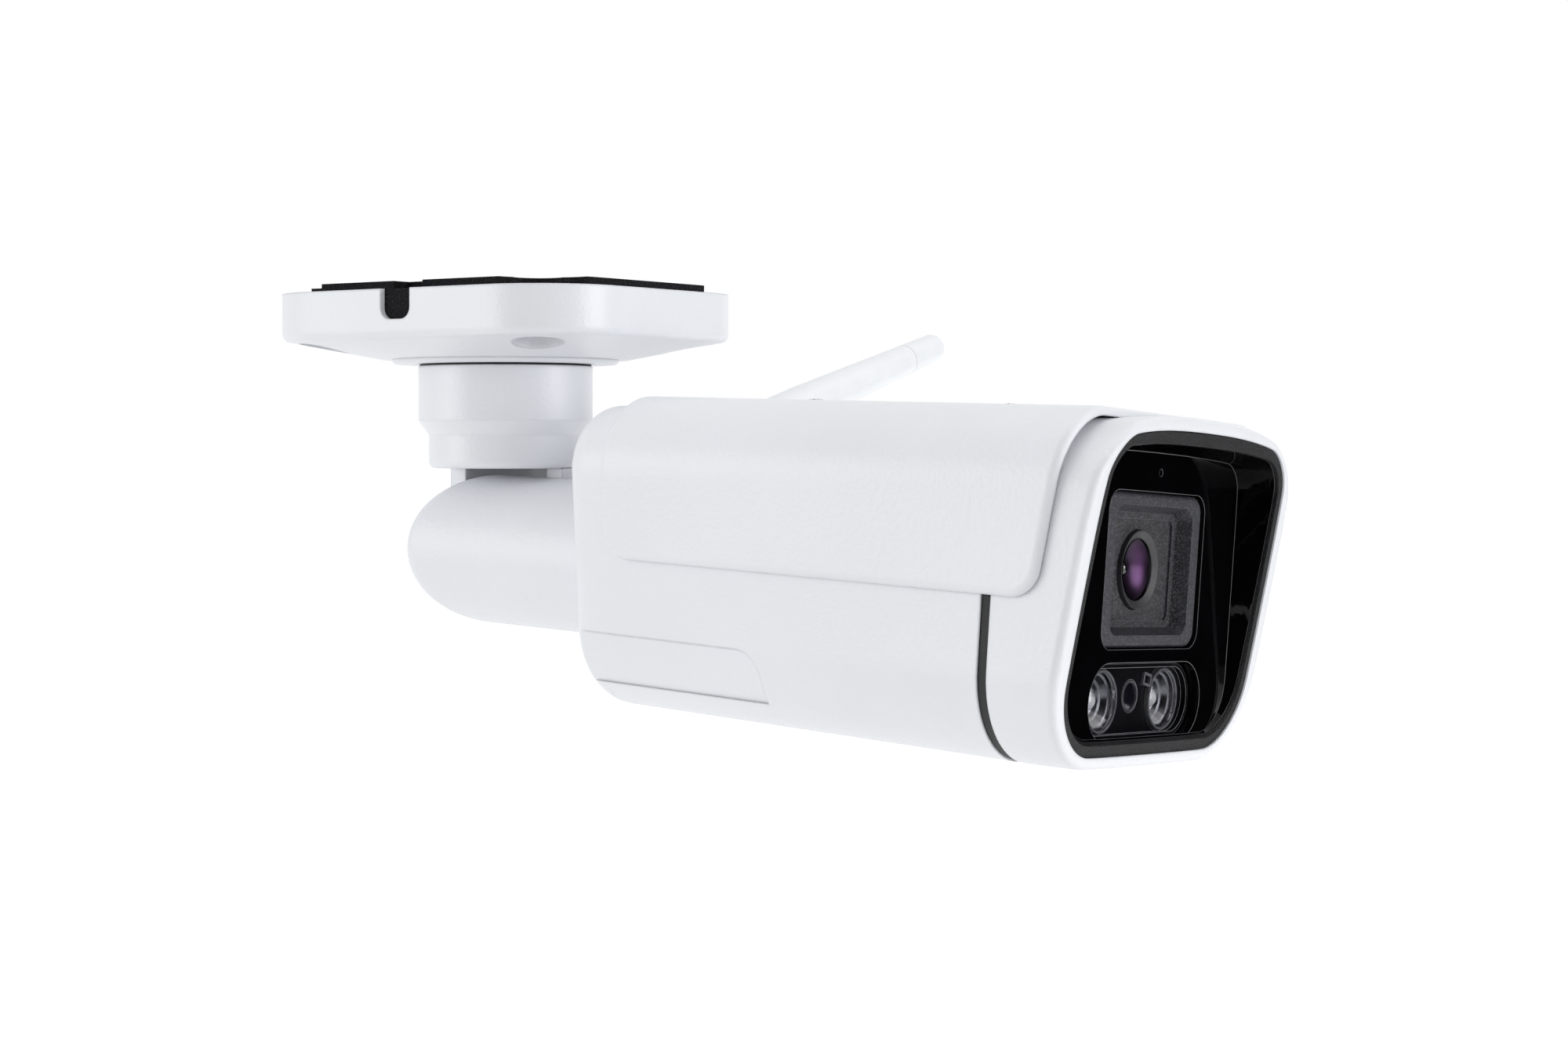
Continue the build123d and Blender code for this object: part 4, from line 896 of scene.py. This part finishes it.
class BULLETCAM_OT_round_hood(bpy.types.Operator):
    """Round the hood's corners and crown its top edge, on copies of its three CAD pieces"""

    bl_idname = "bulletcam.round_hood"
    bl_label = "Round Hood"

    def execute(self, context):
        looks = context.scene.bulletcam_front
        for name, node, slot in (
            ("hood_shell", "front_bezel", "white_paint"),
            ("hood_lip", "hood_liner", "textured_black"),
            ("hood_panel", "front_panel", "gloss_black"),
        ):
            shell = bpy.data.objects.new(name, nodes[node].data.copy())
            context.collection.objects.link(shell)
            self.cut_up(shell)
            for vertex in shell.data.vertices:
                vertex.co = softened(vertex.co, looks)
            bpy.ops.object.shade_smooth_by_angle(angle=SMOOTH)
            bpy.ops.object.modifier_add(type="WEIGHTED_NORMAL")
            shell.modifiers[-1].keep_sharp = True
            bpy.ops.object.modifier_apply(modifier=shell.modifiers[-1].name)
            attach(shell, "head")
            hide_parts(node)
        return {"FINISHED"}

    def cut_up(self, shell):
        """Join the copy's triangles and cut its long flats, so that they can bend."""
        pick(shell)
        bpy.ops.mesh.customdata_custom_splitnormals_clear()
        bpy.ops.object.mode_set(mode="EDIT")
        bpy.ops.mesh.select_all(action="SELECT")
        bpy.ops.mesh.remove_doubles(threshold=MERGE)
        for cut in range(-HOOD_CUTS, HOOD_CUTS + 1):
            side = cut / HOOD_CUTS
            for middle, direction in (
                ((0, side * HOOD_HALF_WIDTH, 0), (0, 1, 0)),
                ((0, 0, HOOD_MIDDLE + side * HOOD_HALF_HEIGHT), (0, 0, 1)),
                (((HOOD_START + HOOD_END + side * (HOOD_END - HOOD_START)) / 2, 0, 0), (1, 0, 0)),
            ):
                bpy.ops.mesh.select_all(action="SELECT")
                bpy.ops.mesh.bisect(
                    plane_co=HEAD @ (Vector(middle) * MM), plane_no=HEAD.to_3x3() @ Vector(direction)
                )
        bpy.ops.object.mode_set(mode="OBJECT")


class BULLETCAM_OT_build_lens(bpy.types.Operator):
    """Build the lens: clear front element, coated bowl behind it and a bead at its pupil"""

    bl_idname = "bulletcam.build_lens"
    bl_label = "Build Lens"

    def execute(self, context):
        looks = context.scene.bulletcam_front
        place = Matrix.Translation((0, 0, looks.lens_height))
        clear = clear_solid("optical_glass_clear", "#FFFFFF", "#6A5088", 0.01, 1.52)
        dressed(clear, "rear_glass")
        outer = dome(LENS_FRONT - 0.05, LENS_FRONT - 0.55, GLASS_RADIUS)
        inner = dome(LENS_FRONT - 0.6, LENS_FRONT - 1.0, GLASS_RADIUS)
        settled(
            spun("lens_front_element", outer[::-1] + inner), place, clear, "lens_glass", "lens_glass"
        )
        bowl = dome(GLASS_REAR - 0.65, LENS_FRONT - 1.7, GLASS_RADIUS)
        step = GLASS_REAR + 0.02
        back = [
            (GLASS_REAR - 1.4, 0),
            (GLASS_REAR - 1.4, 3.7),
            (step, 3.7),
            (step, GLASS_RADIUS),
        ]
        settled(spun("lens_coated_bowl", back + bowl), place, coated_glass(looks), "lens_glass")
        # Polished black glass of the pupil: a small wet highlight in the middle
        bead = mottled("optical_glass_dark", 2 * MM, ("#0A0812", "#141022"), (0.03, 0.06), 0.0, IOR=1.7)
        pupil = [(GLASS_REAR - 0.7, 0), (GLASS_REAR - 0.7, 1.3)]
        pupil += dome(GLASS_REAR + 0.05, GLASS_REAR - 0.55, 1.3)
        settled(spun("lens_pupil", pupil), place, bead, "lens_glass")
        return {"FINISHED"}


class BULLETCAM_OT_build_lamps(bpy.types.Operator):
    """Build the two lamps: mirrored cup, bulb, clear collecting lens, rim and moulding gates"""

    bl_idname = "bulletcam.build_lamps"
    bl_label = "Build Lamps"

    def execute(self, context):
        looks = context.scene.bulletcam_front
        half = looks.lamp_pitch / 2
        near = Matrix.Translation((0, -half, -looks.lamp_drop))
        across = (0, looks.lamp_pitch, 0)
        acrylic = clear_solid("acrylic_moulded_clear", "#FAFAFC", "#FFFFFF", 0.03, 1.49)
        # Smoked polycarbonate, mirror-coated thinly: dark, and its steps shine as silvery arcs
        smoked = mottled(
            "polycarbonate_mirrored", 1.6 * MM, ("#74747A", "#8E8E94"), (0.28, 0.38), 0.05, Metallic=1.0
        )
        # Silicone dome over the die: milky and bright, with a wet gloss
        silicone = mottled(
            "silicone_dome_white", 1.5 * MM, ("#DCDDE2", "#F2F2F5"), (0.12, 0.2), 0.05, IOR=1.41
        )
        # Satin grey ABS of the lens rims, softly marked
        satin = mottled("abs_satin_grey", 1.0 * MM, ("#46464B", "#66666C"), (0.25, 0.36), 0.08)
        cup = [(0.75, 0), (0.8, 2.2), (1.25, 3.3), (1.9, 3.7), (2.05, 4.3), (3.05, 4.9), (3.2, 5.4)]
        cup += [(4.0, 5.55), (4.1, 5.7), (3.95, 6.2), (1.8, 6.2), (0, 3.3), (0, 0)]
        bulb = [(0.78, 0), (0.78, 2.1)] + dome(3.1, 1.4, 2.1)
        lens = dome(0, -0.8, 5.65)[::-1] + dome(-0.3, -1.0, 5.65)
        rim = [(0.05, 5.7), (0.7, 5.75), (0.85, 5.9), (0.85, 6.1), (0.7, 6.25), (0.05, 6.3), (0.05, 5.7)]
        for name, wall, start, material, slot, *replaced in (
            ("lamp_cup", cup, LAMP_ROOT, smoked, "clear_lens"),
            ("lamp_bulb", bulb, LAMP_ROOT, silicone, "lamp_chip"),
            ("lamp_lens", lens, LAMP_FRONT, acrylic, "clear_lens", "led_lenses"),
            ("lamp_rim", rim, TRAY_FRONT, satin, "grey_plastic"),
        ):
            piece = settled(spun(name + "_near", wall, start), near, material, slot, *replaced)
            twin(piece, name + "_far", across)
        self.add_gates(half, looks, acrylic)
        self.add_clip(satin)
        return {"FINISHED"}

    def add_gates(self, half, looks, acrylic):
        """Small moulding gates left on the edge of each collecting lens."""
        for name, side, angle in (("lamp_gate_near", -half, 15.0), ("lamp_gate_far", half, -45.0)):
            gate = started(name, bpy.ops.mesh.primitive_cube_add, size=MM)
            bpy.ops.transform.resize(value=(0.6, 0.7, 2.4), center_override=(0, 0, 0))
            bpy.ops.mesh.bevel(offset=0.18 * MM, segments=3, affect="EDGES")
            bpy.ops.object.mode_set(mode="OBJECT")
            turn = Matrix.Rotation(math.radians(angle), 4, "X")
            middle = Matrix.Translation((0, side, -looks.lamp_drop))
            out = Matrix.Translation(((LAMP_FRONT - 0.62) * MM, 5.2 * MM, 0))
            settled(gate, middle @ turn @ out, acrylic, "clear_lens")

    def add_clip(self, satin):
        """Spring clip that holds the far lens, a small square loop beside it."""
        clip = started("lamp_clip_far", bpy.ops.mesh.primitive_plane_add, size=MM)
        bpy.ops.transform.resize(value=(2.6, 3.4, 1.0), center_override=(0, 0, 0))
        bpy.ops.mesh.bevel(offset=0.5 * MM, segments=4, affect="VERTICES")
        bpy.ops.mesh.inset(thickness=0.55 * MM)
        bpy.ops.mesh.delete(type="FACE")
        bpy.ops.mesh.select_all(action="SELECT")
        bpy.ops.mesh.extrude_region_move(TRANSFORM_OT_translate={"value": (0, 0, 0.6 * MM)})
        bpy.ops.mesh.select_all(action="SELECT")
        bpy.ops.mesh.normals_make_consistent(inside=False)
        bpy.ops.object.mode_set(mode="OBJECT")
        stand = Matrix.Rotation(math.radians(90.0), 4, "Y")
        lean = Matrix.Rotation(math.radians(-12.0), 4, "X")
        middle = Matrix.Translation(((TRAY_FRONT + 0.05) * MM, 6.0 * MM, -14.2 * MM))
        settled(clip, middle @ lean @ stand, satin, "grey_plastic")


class BULLETCAM_OT_build_light_sensor(bpy.types.Operator):
    """Build the light sensor: a dark window in a grey rim between the lamps"""

    bl_idname = "bulletcam.build_light_sensor"
    bl_label = "Build Light Sensor"

    def execute(self, context):
        looks = context.scene.bulletcam_front
        place = Matrix.Translation((0, 0, -looks.sensor_drop))
        body = [(-0.3, 0), (-0.2, 2.65), (0.12, 2.75), (0.15, 2.95), (0, 3.1), (-3.8, 3.1)]
        body += [(-3.8, 3.7), (-4.8, 3.7), (-4.8, 0)]
        # Satin grey nylon of the sensor's body
        nylon = mottled("nylon_satin_grey", 0.8 * MM, ("#35353A", "#4A4A50"), (0.32, 0.44), 0.1)
        settled(spun("light_sensor_body", body, TRAY_FRONT), place, nylon, "grey_plastic", "light_sensor")
        window = [(-0.25, 0), (-0.25, 2.6)] + dome(0.1, -0.15, 2.6)
        # Tinted acrylic: nearly black with a violet cast
        tinted = mottled("acrylic_tinted_dark", 2 * MM, ("#0C0B12", "#14131C"), (0.08, 0.14), 0.0, IOR=1.49)
        settled(spun("light_sensor_window", window, TRAY_FRONT), place, tinted, "gloss_black")
        return {"FINISHED"}


class BULLETCAM_OT_build_shield_screws(bpy.types.Operator):
    """Build the two sunshield screws with domed heads and cross recesses"""

    bl_idname = "bulletcam.build_shield_screws"
    bl_label = "Build Shield Screws"

    def execute(self, context):
        stem = [(-6.0, 0), (-6.0, 1.1), (-5.4, 1.5), (0, 1.5), (0, 3.0), (0.45, 3.0), (0.75, 2.9)]
        screw = spun("shield_screw_rear", stem + dome(1.5, 0.85, 2.75, 8))
        for turn in (0.0, 90.0):
            self.cut_slot(screw, turn)
        # Stainless steel: pale, with the fine bloom of a tumbled screw
        stainless = mottled(
            "steel_stainless_tumbled", 0.8 * MM, ("#A3A5A8", "#C2C3C5"), (0.25, 0.36), 0.1, Metallic=1.0
        )
        stand = Matrix.Rotation(math.radians(-90.0), 4, "Y")
        place = Matrix.Translation(SCREW_SEATS[0]) @ stand
        rear = settled(screw, place, stainless, "steel", "shield_screws")
        twin(rear, "shield_screw_front", SCREW_SEATS[1] - SCREW_SEATS[0])
        return {"FINISHED"}

    def cut_slot(self, screw, turn):
        """Cut one arm of the cross recess with a tapered bar."""
        middle = (1.45 * MM, 0, 0)
        bar = started("recess_bar", bpy.ops.mesh.primitive_cube_add, size=MM, location=middle)
        bpy.ops.transform.resize(value=(1.8, 0.75, 3.2), center_override=middle)
        bpy.ops.object.mode_set(mode="OBJECT")
        bar.rotation_euler.x = math.radians(turn)
        pick(screw)
        cut = screw.modifiers.new("cross_recess", "BOOLEAN")
        cut.operation = "DIFFERENCE"
        cut.solver = "EXACT"
        cut.object = bar
        bpy.ops.object.modifier_apply(modifier=cut.name)
        bpy.data.objects.remove(bar)


class BULLETCAM_OT_build_stage(bpy.types.Operator):
    """Set up the pale floor, the dark cards, the soft light and the camera"""

    bl_idname = "bulletcam.build_stage"
    bl_label = "Build Stage"

    def execute(self, context):
        setup = context.scene.bulletcam_studio
        scene = context.scene
        scene.view_settings.view_transform = "Standard"
        self.build_floor(setup)
        self.build_flags()
        self.build_world(scene, setup)
        self.build_lights(setup)
        self.build_camera(scene, setup)
        return {"FINISHED"}

    def background_share(self, tree):
        """One where a ray shows the background to the camera, straight, mirrored or through glass."""
        path = add_node(tree, "ShaderNodeLightPath")
        mirrored = add_node(
            tree,
            "ShaderNodeMath",
            {"operation": "MAXIMUM"},
            {0: path.outputs["Is Camera Ray"], 1: path.outputs["Is Glossy Ray"]},
        )
        through = add_node(
            tree,
            "ShaderNodeMath",
            {"operation": "MAXIMUM"},
            {0: mirrored.outputs[0], 1: path.outputs["Is Transmission Ray"]},
        )
        return through.outputs[0]

    def build_floor(self, setup):
        """Wide pale floor that reads white to the camera and keeps a trace of the shadow."""
        bpy.ops.object.select_all(action="DESELECT")
        bpy.ops.mesh.primitive_plane_add(size=60.0, location=(0, 0, -setup.floor_drop))
        floor = bpy.context.active_object
        floor.name = "studio_floor"
        material, tree, _ = new_material("studio_paper_white")
        paper = add_node(tree, "ShaderNodeBsdfDiffuse", inputs={"Color": linear("#F4F4F4")})
        # Half the white is the paper's own light, so a shadow still darkens what it falls on
        share = add_node(
            tree, "ShaderNodeMath", {"operation": "MULTIPLY"}, {0: self.background_share(tree), 1: 0.5}
        )
        glow = add_node(
            tree,
            "ShaderNodeEmission",
            inputs={"Color": linear("#FFFFFF"), "Strength": share.outputs[0]},
        )
        both = add_node(
            tree, "ShaderNodeAddShader", inputs={0: paper.outputs["BSDF"], 1: glow.outputs["Emission"]}
        )
        add_node(tree, "ShaderNodeOutputMaterial", inputs={"Surface": both.outputs["Shader"]})
        floor.data.materials.append(material)

    def build_flags(self):
        """Black cards, there only for the polished panel and the hood's walls to mirror."""
        material, tree, _ = new_material("studio_card_black")
        card = add_node(tree, "ShaderNodeBsdfDiffuse", inputs={"Color": linear("#050505")})
        add_node(tree, "ShaderNodeOutputMaterial", inputs={"Surface": card.outputs["BSDF"]})
        front = Vector((0.165, 0, -0.06))
        for name, place, width, tall in (
            ("studio_flag_right", Vector((0.72, 1.05, -0.05)), 1.2, 1.6),
            ("studio_flag_middle", Vector((1.1, -0.31, 0.1)), 0.62, 1.6),
            ("studio_flag_back", Vector((0.84, -0.87, 0.1)), 0.8, 1.6),
            ("studio_flag_left", Vector((0.11, -1.0, 0.45)), 0.9, 2.0),
        ):
            bpy.ops.object.select_all(action="DESELECT")
            bpy.ops.mesh.primitive_plane_add(size=1.0, location=place)
            flag = bpy.context.active_object
            flag.name = name
            flag.scale = (width, tall, 1.0)
            flag.rotation_euler = (front - place).to_track_quat("Z", "Y").to_euler()
            flag.visible_camera = False
            flag.visible_diffuse = False
            flag.visible_shadow = False
            flag.data.materials.append(material)

    def build_world(self, scene, setup):
        """White surround for the camera, dimmer as a light source."""
        world = bpy.data.worlds.new("studio_surround")
        scene.world = world
        world.use_nodes = True
        tree = world.node_tree
        tree.nodes.clear()
        white = add_node(tree, "ShaderNodeBackground", inputs={"Color": linear("#FFFFFF"), "Strength": 1.0})
        soft = add_node(
            tree, "ShaderNodeBackground", inputs={"Color": linear("#FDFEFF"), "Strength": setup.ambient}
        )
        mixed = add_node(
            tree,
            "ShaderNodeMixShader",
            inputs={
                0: self.background_share(tree),
                1: soft.outputs["Background"],
                2: white.outputs["Background"],
            },
        )
        add_node(tree, "ShaderNodeOutputWorld", inputs={"Surface": mixed.outputs["Shader"]})

    def build_lights(self, setup):
        """Softboxes left behind, right in front and overhead."""
        middle = (Vector(cad_low) + Vector(cad_high)) / 2
        for name, place, size, power in (
            ("left_softbox", Vector((-0.76, -1.01, 0.15)), 0.7, setup.left),
            ("right_softbox", Vector((1.2, 0.42, 0.05)), 0.6, setup.right),
            ("top_softbox", Vector((0.05, 0.05, 1.3)), 0.8, setup.top),
        ):
            bpy.ops.object.select_all(action="DESELECT")
            bpy.ops.object.light_add(type="AREA", location=place)
            lamp = bpy.context.active_object
            lamp.name = name
            lamp.data.shape = "SQUARE"
            lamp.data.size = size
            lamp.data.energy = power
            lamp.rotation_euler = (middle - place).to_track_quat("-Z", "Y").to_euler()

    def build_camera(self, scene, setup):
        """Level camera at the photograph's place; the shift puts the horizon at its height."""
        bpy.ops.object.select_all(action="DESELECT")
        bpy.ops.object.camera_add(
            location=CAMERA_PLACE, rotation=(math.radians(90.0), 0.0, CAMERA_AZIMUTH)
        )
        camera = bpy.context.active_object
        camera.name = "photo_camera"
        camera.data.sensor_width = SENSOR_WIDTH
        camera.data.lens = setup.lens
        camera.data.shift_y = -HORIZON_RISE / PHOTO_WIDTH
        scene.camera = camera


class BULLETCAM_PT_dresser(bpy.types.Panel):
    """Sidebar panel that lists the steps"""

    bl_label = "Bullet Camera"
    bl_idname = "BULLETCAM_PT_dresser"
    bl_space_type = "VIEW_3D"
    bl_region_type = "UI"
    bl_category = "Bullet Camera"

    def draw(self, context):
        for step in STEPS:
            self.layout.operator(step.bl_idname)


STEPS = (
    BULLETCAM_OT_paint_housing,
    BULLETCAM_OT_finish_antenna,
    BULLETCAM_OT_finish_seals,
    BULLETCAM_OT_finish_hardware,
    BULLETCAM_OT_finish_front,
    BULLETCAM_OT_round_hood,
    BULLETCAM_OT_build_lens,
    BULLETCAM_OT_build_lamps,
    BULLETCAM_OT_build_light_sensor,
    BULLETCAM_OT_build_shield_screws,
    BULLETCAM_OT_build_stage,
)
CLASSES = (HousingLooks, FrontLooks, StudioSetup, *STEPS, BULLETCAM_PT_dresser)


def register():
    """Register the classes and hang their settings on the scene."""
    for cls in CLASSES:
        bpy.utils.register_class(cls)
    bpy.types.Scene.bulletcam_housing = bpy.props.PointerProperty(type=HousingLooks)
    bpy.types.Scene.bulletcam_front = bpy.props.PointerProperty(type=FrontLooks)
    bpy.types.Scene.bulletcam_studio = bpy.props.PointerProperty(type=StudioSetup)


def unregister():
    """Take the settings and the classes away again."""
    del bpy.types.Scene.bulletcam_studio
    del bpy.types.Scene.bulletcam_front
    del bpy.types.Scene.bulletcam_housing
    for cls in reversed(CLASSES):
        bpy.utils.unregister_class(cls)


def main():
    """Register the classes and run every step in order."""
    register()
    for step in STEPS:
        area, name = step.bl_idname.split(".")
        getattr(getattr(bpy.ops, area), name)()


if __name__ == "__main__":
    main()
